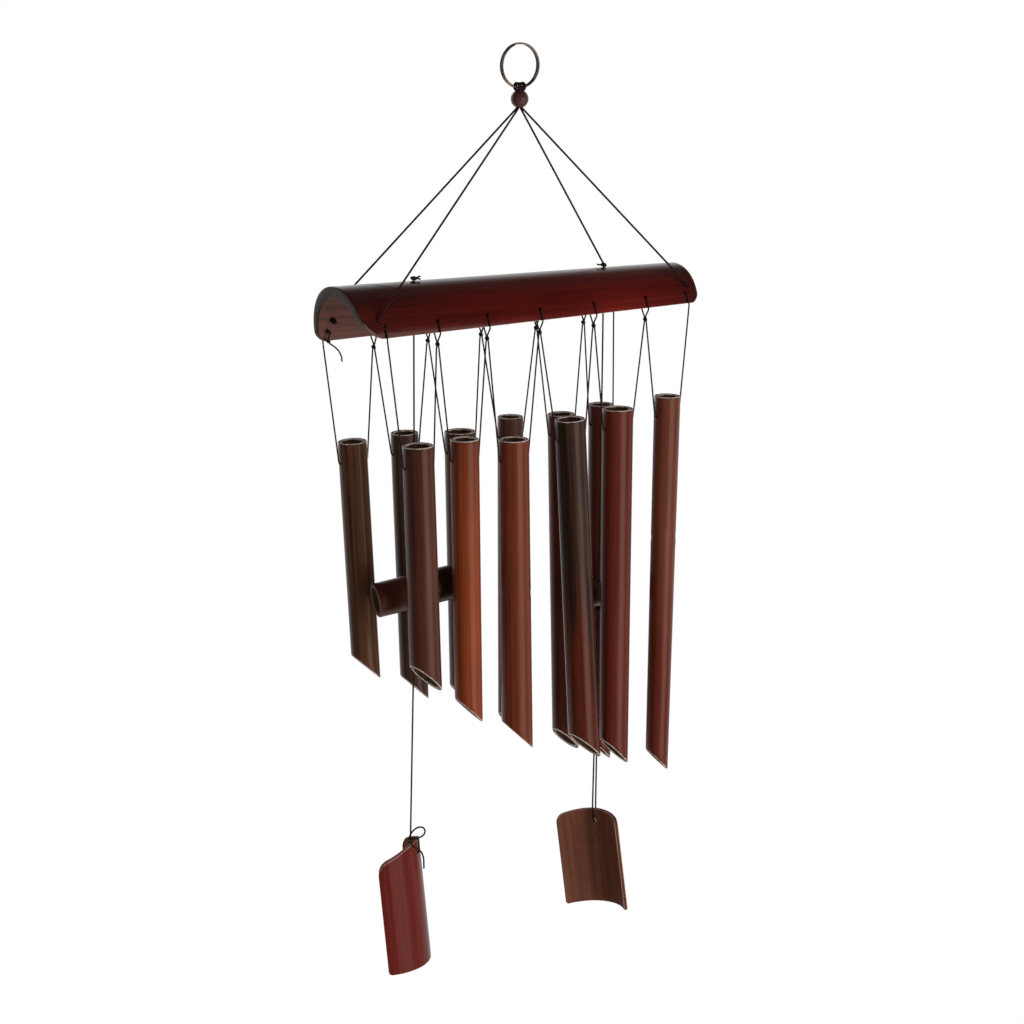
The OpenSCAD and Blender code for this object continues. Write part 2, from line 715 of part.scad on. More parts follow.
// A doubled cord: down the inside, through the sail's hole and up the outside.
module sail_cord_right() {
    s = RIGHT;
    c = striker_cord_d / 2;
    up = sail_hole_depth[s];
    apart = c + 0.3;
    start = [striker_x(s), 0, stop_knot_z(s) - stop_knot_r - cord_gap];
    spread = yawed([apart, 0, 0], sail_turn[s]);
    color(cord_black)
        sweep(eased([
            with_r(start - spread, c),
            with_r(in_sail(s, [-sail_off, 0, up + 0.8]), c),
            with_r(in_sail(s, [-sail_off, 0, 0]), c),
            with_r(in_sail(s, [sail_off, 0, 0]), c),
            with_r(in_sail(s, [sail_off, 0, up + 0.8]), c),
            with_r(start + spread, c)
        ], 1.4, 4));
}

// The bow on the left sail, from its knot: right, behind and up, turned to face the front left.
bow_turn = -33;
bow_loop = [[-0.5, -1.7, 1.4], [-0.9, -1.9, 3.2], [0.2, -2, 5.6], [2, -2.2, 7.8], [4.9, -2.4, 9.6],
    [7.5, -2.4, 9.5], [8.7, -2.3, 7.2], [7.4, -2.2, 4.8], [4.9, -2.2, 3.8], [2.6, -2.1, 3.6],
    [1.1, -2, 3.4], [0.3, -1.9, 2.6]];
bow_tail = [[-0.4, -2.3, 0.4], [-0.6, -3.2, 2.4], [0.3, -5, 3.3], [0.9, -7.8, 3.2], [2, -10.2, 1.4],
    [4.2, -10.6, -1.2], [6.6, -10, -4], [8, -9.6, -7.4], [8.2, -9.6, -13.8]];
module sail_bow_left() {
    c = striker_cord_d / 2;
    k = bow_knot(LEFT);
    color(cord_black)
        for (run = [bow_loop, bow_tail])
            sweep(eased([for (p = run) with_r(k + yawed(p, bow_turn), c)], 2.4, 4));
}

// A slat split from a culm, with a rounded top and its cord hole near the top.
module sail(s) {
    half_chord = sail_r[s] * sin(min(sail_arc[s], 180) / 2);
    rise_r = (pow(half_chord, 2) + pow(sail_arch[s], 2)) / (2 * sail_arch[s]);
    top = sail_hole_depth[s];
    centre = -(sail_r[s] - sail_wall / 2);
    translate(sail_hole(s))
        rotate([0, 0, sail_turn[s]])
        rotate([0, -sail_lean[s], 0])
        rotate([sail_tip[s], 0, 0])
        difference() {
            intersection() {
                translate([centre, 0, top - sail_len[s]])
                    rotate([0, 0, -sail_arc[s] / 2])
                    rotate_extrude(angle = sail_arc[s], $fn = 96)
                    translate([sail_r[s] - sail_wall, 0])
                    square([sail_wall, sail_len[s] + 6]);
                translate([0, 0, top - rise_r]) {
                    rotate([0, 90, 0])
                        cylinder(r = rise_r, h = 4 * sail_r[s], center = true, $fn = 96);
                    if (sail_len[s] > rise_r) translate([0, 0, -sail_len[s] / 2])
                        cube([4 * sail_r[s] - 1, rise_r + half_chord, sail_len[s]], center = true);
                }
            }
            rotate([0, 90, 0])
                cylinder(d = sail_hole_d, h = sail_wall * 4, center = true, $fn = 24);
        }
}

module sail_left() {
    color([0.36, 0.07, 0.06]) sail(LEFT);
}

module sail_right() {
    color([0.36, 0.17, 0.12]) sail(RIGHT);
}

hang_ring();
bead();
hanger_cord_left();
hanger_cord_right();
roof();
front_eave_loops();
back_eave_loops();
front_tube(1);  // front_tube_1
front_tube(2);  // front_tube_2
front_tube(3);  // front_tube_3
front_tube(4);  // front_tube_4
front_tube(5);  // front_tube_5
front_tube(6);  // front_tube_6
back_tube(1);  // back_tube_1
back_tube(2);  // back_tube_2
back_tube(3);  // back_tube_3
back_tube(4);  // back_tube_4
back_tube(5);  // back_tube_5
back_tube(6);  // back_tube_6
front_cord(1);  // front_cord_1
front_cord(2);  // front_cord_2
front_cord(3);  // front_cord_3
front_cord(4);  // front_cord_4
front_cord(5);  // front_cord_5
front_cord(6);  // front_cord_6
back_cord(1);  // back_cord_1
back_cord(2);  // back_cord_2
back_cord(3);  // back_cord_3
back_cord(4);  // back_cord_4
back_cord(5);  // back_cord_5
back_cord(6);  // back_cord_6
ridge_knot_left();
ridge_knot_right();
striker_cord_left();
striker_cord_right();
striker_left();
striker_right();
stop_knot_left();
stop_knot_right();
sail_cord_left();
sail_cord_right();
sail_bow_left();
sail_left();
sail_right();
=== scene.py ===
"""Looks of the bamboo wind chime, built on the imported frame. Lengths are in millimetres until a mesh is made."""
import json
import math

import bpy
import numpy as np
from mathutils import Matrix, Vector


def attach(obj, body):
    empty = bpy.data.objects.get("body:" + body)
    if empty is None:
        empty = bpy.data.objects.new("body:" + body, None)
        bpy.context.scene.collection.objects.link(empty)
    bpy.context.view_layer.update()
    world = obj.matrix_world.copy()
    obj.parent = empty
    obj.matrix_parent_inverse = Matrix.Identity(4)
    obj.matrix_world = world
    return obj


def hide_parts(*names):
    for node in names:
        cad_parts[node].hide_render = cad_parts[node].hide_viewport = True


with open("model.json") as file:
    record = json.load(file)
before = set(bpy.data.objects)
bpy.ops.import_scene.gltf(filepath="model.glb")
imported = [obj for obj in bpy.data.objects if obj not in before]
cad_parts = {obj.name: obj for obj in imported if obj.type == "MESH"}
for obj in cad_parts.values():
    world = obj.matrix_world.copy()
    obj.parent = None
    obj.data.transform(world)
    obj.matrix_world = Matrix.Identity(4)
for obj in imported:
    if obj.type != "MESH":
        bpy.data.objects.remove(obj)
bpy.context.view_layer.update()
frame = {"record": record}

MM = 0.001
TAU = 2 * math.pi
RECORD = frame["record"]
BODY_OF = {node: body for body, nodes in RECORD["behaviour"]["bodies"].items() for node in nodes}
scene = bpy.context.scene

# ---------------------------------------------------------------- camera, fitted to the photo
EYE = np.array([-819.58, -1256.84, 63.58])
RIGHT = np.array([0.83948823, -0.54333741, 0.00663094])
UP = np.array([0.11726873, 0.1930757, 0.97415082])
AHEAD = np.array([0.53057285, 0.81701055, -0.22580127])
SENSOR, FOCAL_PX, FRAME_PX = 36, 2493, 1024

camera_data = bpy.data.cameras.new("camera")
camera_data.sensor_width = SENSOR
camera_data.lens = FOCAL_PX / FRAME_PX * SENSOR
camera_data.clip_start = 0.05
camera_data.clip_end = 50
camera = bpy.data.objects.new("camera", camera_data)
scene.collection.objects.link(camera)
turn = Matrix([[RIGHT[i], UP[i], -AHEAD[i]] for i in range(3)]).to_4x4()
camera.matrix_world = Matrix.Translation(Vector(EYE * MM)) @ turn
scene.camera = camera

# ---------------------------------------------------------------- sizes, as in the CAD source
RING_ID, RING_WIRE, RING_GAP, RING_STEP = 24.4, 1.3, 0.6, 40
BEAD_D, BEAD_HOLE, BEAD_DROP = 10.8, 5.1, 1.4
ROOF_LEN, ROOF_LEFT, ROOF_R0, ROOF_R1, ROOF_WALL, ROOF_DEPTH = 245.6, 127.6, 33, 31.4, 5, 168.4
SPLIT_RISE, ROOF_ROLL, SPLIT_SLOPE, END_LEAN, BORE_DROP = 3.3, 8.6, 1.2, 9, 1.6
CORNER_R = {(-1, -1): 16, (-1, 1): 8, (1, -1): 8, (1, 1): 8}
PAST_END, PAST_EAVE = 0.2, {-1: 1.1, 1: 0.4}
EAVE_HOLE_UP, EAVE_HOLE_D, HANGER_HOLE_D = 6.8, 2.6, 2.8
INSET = {-1: (16.8, 11.8), 1: (11.2, 24.1)}
DRIFT = {-1: (0, -0.3, -2.1, -0.8, 2.5, 5.2, 0), 1: (0, -2.3, 0.5, 3.5, 8.9, 9.6, 0)}
HANGER_INSET, HANGER_ANGLE = (12.7, 13.5, 22.2, 8.8), (-61, 70, 70, -50)
LEN = {-1: (152.5, 177, 196, 221, 230.5, 244.5), 1: (152, 172, 183, 210, 226, 240)}
DIA = {-1: (18.7, 17.3, 18.6, 18.7, 19.4, 16.5), 1: (17.7, 17.1, 19.6, 16.3, 17.5, 16.7)}
TAPER = {-1: (0.4, -0.5, 0.6, 1.2, -1.2, -2), 1: (-0.4, 0.2, 0, 0.4, -0.3, -1)}
TOP = {-1: (59.1, 58.8, 62.6, 54.4, 51.4, 46.7), 1: (66.1, 64.3, 67.5, 61.8, 63.8, 61)}
SHIFT = {-1: (4.3, 1.8, 0.7, 4, -0.3, 1.3), 1: (2.3, 2.6, 4.2, 1.7, 2, 3.6)}
LEAN = {-1: (2.1, 1.2, 1.3, 3.8, 0.3, -0.6), 1: (3.4, 2.4, 1.5, 0.6, 1.7, 0.5)}
TUBE_WALL, FOOT_SLANT, HOLE_DEPTH = 2.2, 45, 13
TUBE_CORD, HANGER_CORD, STRIKER_CORD = 1, 1.3, 1.1
KNOT_R, KNOT_DROP, GAP = 1.5, 7, 0.3
STRIKER_INSET, STRIKER_DEPTH, STRIKER_D, STRIKER_LEN = (54.1, 55), (156.1, 176.3), (21, 16), (50, 38.5)
STRIKER_TURN, STRIKER_LEAN, STRIKER_WALL, STOP_KNOT_R = (-14, 4), (9.5, 1), 2.6, 2.2
SAIL_DROP, SAIL_R, SAIL_ARC, SAIL_LEN, SAIL_ARCH = (167.5, 152.5), (25.5, 28.5), (146, 110), (81, 64), (9.5, 3)
SAIL_WALL, SAIL_HOLE_DEPTH, SAIL_HOLE_D, SAIL_OUT = 2.4, (8, 8), 2.6, (0.8, 0)
SAIL_TURN, SAIL_LEAN, SAIL_TIP = (-50, 26), (5, 3), (2, -6.5)
SIDES = {-1: "front", 1: "back"}
ENDS = ("left", "right")

# looks only, from the photo: the turn of each tube's slanted foot, the place of the ring's step, the shown radius of its
# wire as a share of the wire, the second turn of the hanger cords round it, the ridge knots and the sails' round corners
FOOT_TURN = {-1: (7, -6, -13, 4, -3, -11), 1: (-8, -9, -6, 2, 9, -4)}
RING_TURN, RING_SHOWN = 110, 0.45
HITCH_OUT, HITCH_UP, HITCH_R = 2.55, 0.45, 2.2
RIDGE_TAILS = (((4.2, -0.3, 1.1), (3.9, -1.2, -0.6)), ((-4.6, 0.6, 0.5),))
RIDGE_STRETCH = (1.3, 1.25, 0.72)
SAIL_SOFT = ((6.5, 2.5), (5, 1.2))

ring_r = (RING_ID + RING_WIRE) / 2
ring_z = -RING_ID / 2
ring_pitch = RING_WIRE + RING_GAP
ring_foot = ring_z - ring_r
bead_half = math.sqrt((BEAD_D / 2) ** 2 - (BEAD_HOLE / 2) ** 2)
bead_z = ring_foot - RING_WIRE / 2 - BEAD_DROP - bead_half
roof_z = -ROOF_DEPTH
roof_right = ROOF_LEN - ROOF_LEFT


def sin(a): return math.sin(math.radians(a))
def cos(a): return math.cos(math.radians(a))
def tan(a): return math.tan(math.radians(a))
def vec(*a): return np.array(a, float)
def unit(v): return np.asarray(v, float) / np.linalg.norm(v)


# ---------------------------------------------------------------- routes, as in the CAD source
def eased(points, reach, steps):
    """A route with its corners rounded."""
    p = [np.asarray(q, float) for q in points]
    out = [p[0]]
    for i in range(1, len(p) - 1):
        before = np.linalg.norm(p[i] - p[i - 1])
        after = np.linalg.norm(p[i + 1] - p[i])
        a = p[i] + (p[i - 1] - p[i]) * min(reach / before, 0.45)
        b = p[i] + (p[i + 1] - p[i]) * min(reach / after, 0.45)
        for k in range(steps + 1):
            t = k / steps
            out.append(a * (1 - t) ** 2 + p[i] * 2 * t * (1 - t) + b * t * t)
    return out + [p[-1]]


def culm_r(x): return ROOF_R0 + (ROOF_R1 - ROOF_R0) * (x + ROOF_LEFT) / ROOF_LEN


def eave_angle(x, side, r, drop=0.0):
    """The direction from the culm's centre line to a split edge, at the distance r."""
    high = SPLIT_RISE + tan(SPLIT_SLOPE) * x + drop
    return ROOF_ROLL + side * math.degrees(math.acos(high * cos(ROOF_ROLL) / r))


def bore_r(x, a):
    """Distance from the culm's centre line to its bore, in the direction a."""
    return math.sqrt((culm_r(x) - ROOF_WALL) ** 2 - (BORE_DROP * sin(a)) ** 2) - BORE_DROP * cos(a)


def on_culm(x, r, a): return vec(x, r * sin(a), roof_z + r * cos(a))
def hole_angle(x, side): return eave_angle(x, side, culm_r(x)) - side * math.degrees(EAVE_HOLE_UP / culm_r(x))


def hole_x(side, j):
    first, last = INSET[side]
    return -ROOF_LEFT + first + j * (ROOF_LEN - first - last) / 6 + DRIFT[side][j]


cord_off = GAP + TUBE_CORD / 2


def eave_knot(side, j):
    """The knot that hangs under an eave hole."""
    x = hole_x(side, j)
    r = culm_r(x) - ROOF_WALL / 2
    return on_culm(x, r, eave_angle(x, side, r)) - vec(0, 0, KNOT_DROP)


def eave_end(side, j):
    """Where the row's cord leaves the eave at the row's first or last hole."""
    x = hole_x(side, j)
    return on_culm(x, culm_r(x) + cord_off, eave_angle(x, side, culm_r(x)) + side * 1.8)


def is_end(j): return j in (0, 6)
def support(side, j): return eave_end(side, j) if is_end(j) else eave_knot(side, j)


def loop_route(side, j):
    """A loop from its knot up the outside, in through the eave hole and down the inside to the knot."""
    k, x = eave_knot(side, j), hole_x(side, j)
    outer = culm_r(x) + cord_off
    a = hole_angle(x, side)
    low_out = eave_angle(x, side, culm_r(x)) + side * 1.5
    low_in = eave_angle(x, side, culm_r(x) - ROOF_WALL) + side * 1.5
    rest = k + unit(vec(0, -side * 0.62, 0.78)) * (KNOT_R * 0.5)
    return k, eased([k, k + vec(0, side * 0.3, KNOT_R * 1.4), on_culm(x, outer, low_out), on_culm(x, outer, a),
                     on_culm(x, bore_r(x, a) - cord_off, a), on_culm(x, bore_r(x, low_in) - cord_off, low_in), rest],
                    1.4, 6)


def end_route(side, j):
    """The row's end: from a knot inside the roof out through the hole and down to the eave."""
    x = hole_x(side, j)
    r, a = culm_r(x), hole_angle(x, side)
    k = on_culm(x, bore_r(x, a) - KNOT_R - GAP, a)
    return k, eased([k, on_culm(x, bore_r(x, a), a), on_culm(x, r + cord_off, a),
                     on_culm(x, r + cord_off, eave_angle(x, side, r)), eave_end(side, j)], 1.2, 6)


def tube_mid(side, i):
    """The middle of a tube's cord holes, so that the tube's weight hangs under its two supports."""
    x = (hole_x(side, i) + hole_x(side, i + 1)) / 2 + SHIFT[side][i]
    a, b = support(side, i), support(side, i + 1)
    heavy = x + LEN[side][i] / 2 * sin(LEAN[side][i])
    y = a[1] + (b[1] - a[1]) * (heavy - a[0]) / (b[0] - a[0])
    return vec(x, y, roof_z - TOP[side][i] - HOLE_DEPTH)


def in_tube(side, i, u, w):
    """A point of a tube's own frame: u across it, w up it."""
    a = LEAN[side][i]
    return tube_mid(side, i) + vec(u * cos(a) - w * sin(a), 0, u * sin(a) + w * cos(a))


def strand_top(side, j, towards):
    if is_end(j):
        return eave_end(side, j) - vec(0, 0, GAP + 0.2)
    apart = (TUBE_CORD + GAP) / 2 + 0.15
    return eave_knot(side, j) + vec(towards * apart, 0, -(KNOT_R + GAP + 0.15))


def strand_root(side, j, towards):
    """Where a strand comes out of its knot or of the row's end."""
    return support(side, j) + vec(0 if is_end(j) else towards * 0.35, 0, -0.1)


def cord_route(side, i):
    """A strand from one support, through the tube's two holes, to the next support."""
    d = DIA[side][i] + TAPER[side][i] * HOLE_DEPTH / LEN[side][i]
    u = d / 2 + cord_off + 0.15
    return eased([strand_root(side, i, 1), strand_top(side, i, 1), in_tube(side, i, -u, 0), in_tube(side, i, u, 0),
                  strand_top(side, i + 1, -1), strand_root(side, i + 1, -1)], 1.6, 8)


hanger_off = GAP + HANGER_CORD / 2
HANGER_KNOT_R = 1.9
saddle_r = ring_pitch / 2 + RING_WIRE / 2 + hanger_off
saddle_x = HANGER_CORD / 2 + 0.25
bead_lane = HANGER_CORD / 2 + 0.1


def hanger_end(h):
    """A hanger cord's end: its knot in the bore, the hole, and the outside of the roof."""
    x = -ROOF_LEFT + HANGER_INSET[h] if h < 2 else roof_right - HANGER_INSET[h]
    a, r = HANGER_ANGLE[h], culm_r(x)
    return [on_culm(x, bore_r(x, a) - HANGER_KNOT_R - GAP, a), on_culm(x, r - ROOF_WALL / 2, a),
            on_culm(x, r + hanger_off, a)]


def hanger_route(front, back, x):
    """From one hole up through the bead, over the ring's foot, and back down to the hole behind."""
    up, down = hanger_end(front), hanger_end(back)[::-1]
    top, foot = bead_z + bead_half - 2.4, bead_z - bead_half - 0.2
    saddle = [vec(x, -saddle_r * cos(a), ring_foot + saddle_r * sin(a)) for a in range(-54, 235, 12)]
    rise = eased(up + [vec(x, -bead_lane, foot), vec(x, -bead_lane, top), saddle[0]], 1.5, 6)
    fall = eased([saddle[-1], vec(x, bead_lane, top), vec(x, bead_lane, foot)] + down, 1.5, 6)
    return rise + saddle[1:-1] + fall


def striker_x(s): return -ROOF_LEFT + STRIKER_INSET[0] if s == 0 else roof_right - STRIKER_INSET[1]
def striker_z(s): return roof_z - STRIKER_DEPTH[s]
def striker_foot(s): return striker_z(s) - STRIKER_D[s] / 2 / cos(STRIKER_LEAN[s])
def stop_knot_z(s): return striker_foot(s) - GAP - STOP_KNOT_R
def ridge_top(s): return roof_z + culm_r(striker_x(s))


def rot_x(a): return np.array([[1, 0, 0], [0, cos(a), -sin(a)], [0, sin(a), cos(a)]])
def rot_y(a): return np.array([[cos(a), 0, sin(a)], [0, 1, 0], [-sin(a), 0, cos(a)]])
def rot_z(a): return np.array([[cos(a), -sin(a), 0], [sin(a), cos(a), 0], [0, 0, 1]])


def sail_turn(s): return rot_z(SAIL_TURN[s]) @ rot_y(-SAIL_LEAN[s]) @ rot_x(SAIL_TIP[s])
def sail_hole(s): return vec(striker_x(s), 0, striker_z(s) - SAIL_DROP[s]) + rot_z(SAIL_TURN[s]) @ vec(SAIL_OUT[s], 0, 0)
def in_sail(s, p): return sail_hole(s) + sail_turn(s) @ np.asarray(p, float)


sail_off = SAIL_WALL / 2 + GAP + STRIKER_CORD / 2
BOW_KNOT_R, BOW_KNOT_UP, BOW_TURN = 1.7, 6, -33
bow_knot = in_sail(0, (-SAIL_WALL / 2 - GAP - BOW_KNOT_R, 0, BOW_KNOT_UP))
TAIL_CURL = [(0.3, -0.3, -0.8), (-0.7, -0.8, -3.4), (-1.2, -0.9, -4.4), (-0.8, -1.1, -6), (0, -1.3, -6.8),
             (2.2, -1.6, -8.2), (5.4, -2, -11.2), (7.2, -2.2, -15), (7.4, -2.2, -17.7)]
BOW_LOOP = [(-0.5, -1.7, 1.4), (-0.9, -1.9, 3.6), (0.2, -2, 6.6), (2.2, -2.2, 9.4), (5.3, -2.4, 11.4), (8.2, -2.4, 11.1),
            (9.4, -2.3, 8.6), (8.3, -2.2, 5.8), (5.6, -2.2, 4.2), (2.8, -2.1, 3.6), (1.1, -2, 3.2), (0.3, -1.9, 2.4)]
BOW_TAIL = [(-0.4, -2.3, 0.4), (-0.6, -3.2, 2.4), (0.3, -5, 3.3), (0.9, -7.8, 3.2), (2, -10.2, 1.4),
            (5, -10.4, 0.2), (7.4, -10, -2.4), (8.6, -9.6, -6.2), (8.7, -9.6, -13)]


# ---------------------------------------------------------------- mesh tools
# angles past which an edge shades sharp, and the lay of a cord: its plies, their pitch and the mesh's step in diameters
SHARP, TURNED_SHARP, CORD_SHARP = 50, 60, 80
PLIES, PITCH, CORD_STEP = 3, 4.4, 0.55


class Shape:
    """Vertices and faces gathered in millimetres, with the paint masks of the bamboo: rim, inside and bore, the last
    marking drilled holes for painted shade.
    """

    def __init__(self):
        self.v, self.f, self.rim, self.inside, self.bore = [], [], [], [], 0.0

    def add(self, points, faces, rim=0.0, inside=0.0):
        """Adds points and their faces, which count from 0, and gives the number of the first point."""
        base = len(self.v)
        points = np.asarray(points, float).reshape(-1, 3)
        self.v += [tuple(p) for p in points]
        self.rim += list(np.broadcast_to(rim, len(points)))
        self.inside += list(np.broadcast_to(inside, len(points)))
        self.f += [tuple(base + i for i in face) for face in faces]
        return base

    def make(self, name, place=None, sharp=SHARP):
        mesh = bpy.data.meshes.new(name)
        mesh.from_pydata([tuple(c * MM for c in p) for p in self.v], [], self.f)
        for key, values in (("rim", self.rim), ("inside", self.inside), ("bore", [self.bore] * len(self.v))):
            if any(values):
                mesh.attributes.new(key, "FLOAT", "POINT").data.foreach_set("value", np.array(values, np.float32))
        mesh.validate()
        mesh.update()
        finish_mesh(mesh, sharp)
        obj = bpy.data.objects.new(name, mesh)
        scene.collection.objects.link(obj)
        if place is not None:
            obj.matrix_world = place
        return obj


def finish_mesh(mesh, sharp):
    mesh.polygons.foreach_set("use_smooth", [True] * len(mesh.polygons))
    mesh.set_sharp_from_angle(angle=math.radians(sharp))
    mesh.update()


def grid_faces(rows, cols, closed, flip=False):
    """Quads of a grid of points whose rows may close on themselves."""
    out = []
    for i in range(rows - 1):
        for k in range(cols if closed else cols - 1):
            a, b = i * cols + k, i * cols + (k + 1) % cols
            quad = (a, b, b + cols, a + cols)
            out.append(quad[::-1] if flip else quad)
    return out


def place_at(origin, turn=None):
    m = np.eye(4)
    if turn is not None:
        m[:3, :3] = turn
    m[:3, 3] = np.asarray(origin) * MM
    return Matrix(m.tolist())


def spaced(path, step):
    """The path at even steps."""
    p = np.asarray(path, float)
    keep = np.r_[True, np.linalg.norm(np.diff(p, axis=0), axis=1) > 1e-6]
    p = p[keep]
    s = np.r_[0, np.cumsum(np.linalg.norm(np.diff(p, axis=0), axis=1))]
    n = max(2, int(round(s[-1] / step)) + 1)
    at = np.linspace(0, s[-1], n)
    return np.stack([np.interp(at, s, p[:, i]) for i in range(3)], 1), at


def frames_of(p, closed=False):
    """Directions along a path, and normals carried along it without twist."""
    if closed:
        t = np.roll(p, -1, 0) - np.roll(p, 1, 0)
    else:
        t = np.gradient(p, axis=0)
    t /= np.linalg.norm(t, axis=1)[:, None]
    n = np.zeros_like(t)
    first = vec(1, 0, 0) if abs(t[0][0]) < 0.8 else vec(0, 1, 0)
    for i in range(len(p)):
        m = (first if i == 0 else n[i - 1])
        n[i] = unit(m - (m @ t[i]) * t[i])
    return t, n, np.cross(t, n)


def rings_round(p, radius, n, b, sides):
    """Rings of points round a path, with a radius for each point, or for each point and side."""
    a = np.arange(sides) * TAU / sides
    out = np.cos(a)[None, :, None] * n[:, None] + np.sin(a)[None, :, None] * b[:, None]
    return p[:, None] + radius[..., None] * out


def end_caps(rows, sides):
    return [tuple(range(sides))[::-1], tuple((rows - 1) * sides + k for k in range(sides))]


def round_wire(shape, path, radius, sides=12, closed=False, tip=0.0):
    """A plain round wire or fibre; tip narrows its far end."""
    p = np.asarray(path, float)
    _, n, b = frames_of(p, closed)
    r = np.full(len(p), radius) * (1 - tip * np.linspace(0, 1, len(p)))
    pts = rings_round(p, r[:, None], n, b, sides)
    faces = grid_faces(len(p), sides, True)
    if closed:
        # joins the last ring to the nearest turn of the first
        last = (len(p) - 1) * sides
        off = int(np.argmin([np.linalg.norm(pts[-1][0] - pts[0][k]) for k in range(sides)]))
        faces += [(last + k, last + (k + 1) % sides, (k + 1 + off) % sides, (k + off) % sides) for k in range(sides)]
    else:
        faces += end_caps(len(p), sides)
    shape.add(pts, faces)


def twisted(shape, path, d, sides=12):
    """A laid cord: plies that turn round each other along the path. Gives the path back at even steps."""
    p, s = spaced(path, CORD_STEP * d)
    _, n, b = frames_of(p)
    a = np.arange(sides) * TAU / sides
    lobe = np.abs(np.cos(PLIES * (a[None] - TAU * s[:, None] / (PITCH * d)) / 2))
    rho = d / 2 * (0.8 + 0.2 * lobe ** 0.7)
    shape.add(rings_round(p, rho, n, b, sides), grid_faces(len(p), sides, True) + end_caps(len(p), sides))
    return p


def overhand(shape, centre, along, radius, strand, rings=60, sides=8, stretch=(1, 1, 1)):
    """A pulled-tight overhand knot: its strand runs round itself three times."""
    z = unit(along)
    x = unit(np.cross(z, vec(0.31, 0.52, 0.8) if abs(z[2]) < 0.9 else vec(1, 0.2, 0)))
    y = np.cross(z, x)
    t = np.linspace(0, TAU, rings, endpoint=False)
    reach = (radius - strand) / 3
    q = np.stack([np.sin(t) + 2 * np.sin(2 * t), np.cos(t) - 2 * np.cos(2 * t), -2.3 * np.sin(3 * t)], 1) * reach
    round_wire(shape, np.asarray(centre) + q @ np.array([x, y, z]) * np.array(stretch), strand, sides, closed=True)


def frayed(shape, line, d, seed, count, reach):
    """Loose fibres at the cut end of a cord that runs along a line."""
    rng = np.random.default_rng(seed)
    end, z = line[-1], unit(line[-1] - line[-4])
    for _ in range(count):
        side = rng.normal(size=3)
        side = unit(side - (side @ z) * z)
        start = end + side * d * 0.25 - z * 0.3
        bend = side * rng.uniform(0.1, 0.7) + z * rng.uniform(0.6, 1.0)
        far = start + bend * reach * rng.uniform(0.6, 1.0)
        mid = (start + far) / 2 + z * 0.25
        round_wire(shape, [start, mid, far], d * 0.09, 4, tip=0.6)


def drill(obj, holes):
    """Cuts holes, each (centre, direction, diameter, half length) in the object's own frame, and keeps the cut mesh."""
    shape = Shape()
    # the cutter marks the hole walls with the bore mask, for their painted shade
    shape.bore = 1.0
    for c, d, dia, half in holes:
        reach = unit(d) * half
        round_wire(shape, [np.asarray(c) - reach, np.asarray(c), np.asarray(c) + reach], dia / 2, 20)
    tool = shape.make(obj.name + "_drill", obj.matrix_world.copy())
    mod = obj.modifiers.new("drill", "BOOLEAN")
    mod.operation, mod.solver, mod.object = "DIFFERENCE", "EXACT", tool
    bpy.context.view_layer.update()
    cut = bpy.data.meshes.new_from_object(obj.evaluated_get(bpy.context.evaluated_depsgraph_get()))
    obj.modifiers.clear()
    obj.data = cut
    bpy.data.objects.remove(tool, do_unlink=True)
    finish_mesh(cut, SHARP)


def settle(obj, node, material):
    """The piece stands for a CAD node, and moves with its body."""
    obj.data.materials.clear()
    obj.data.materials.append(material)
    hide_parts(node)
    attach(obj, BODY_OF[node])
    return obj


# ---------------------------------------------------------------- materials
def linear(c):
    """A colour written in 0 to 255, as a shader takes it."""
    return tuple((v / 12.92 if v <= 0.04045 else ((v + 0.055) / 1.055) ** 2.4) for v in (x / 255 for x in c)) + (1.0,)


def shades(colour, *stops):
    """Ramp stops of one colour, each (place, brightness)."""
    return [(place, linear([min(255, c * level) for c in colour])) for place, level in stops]


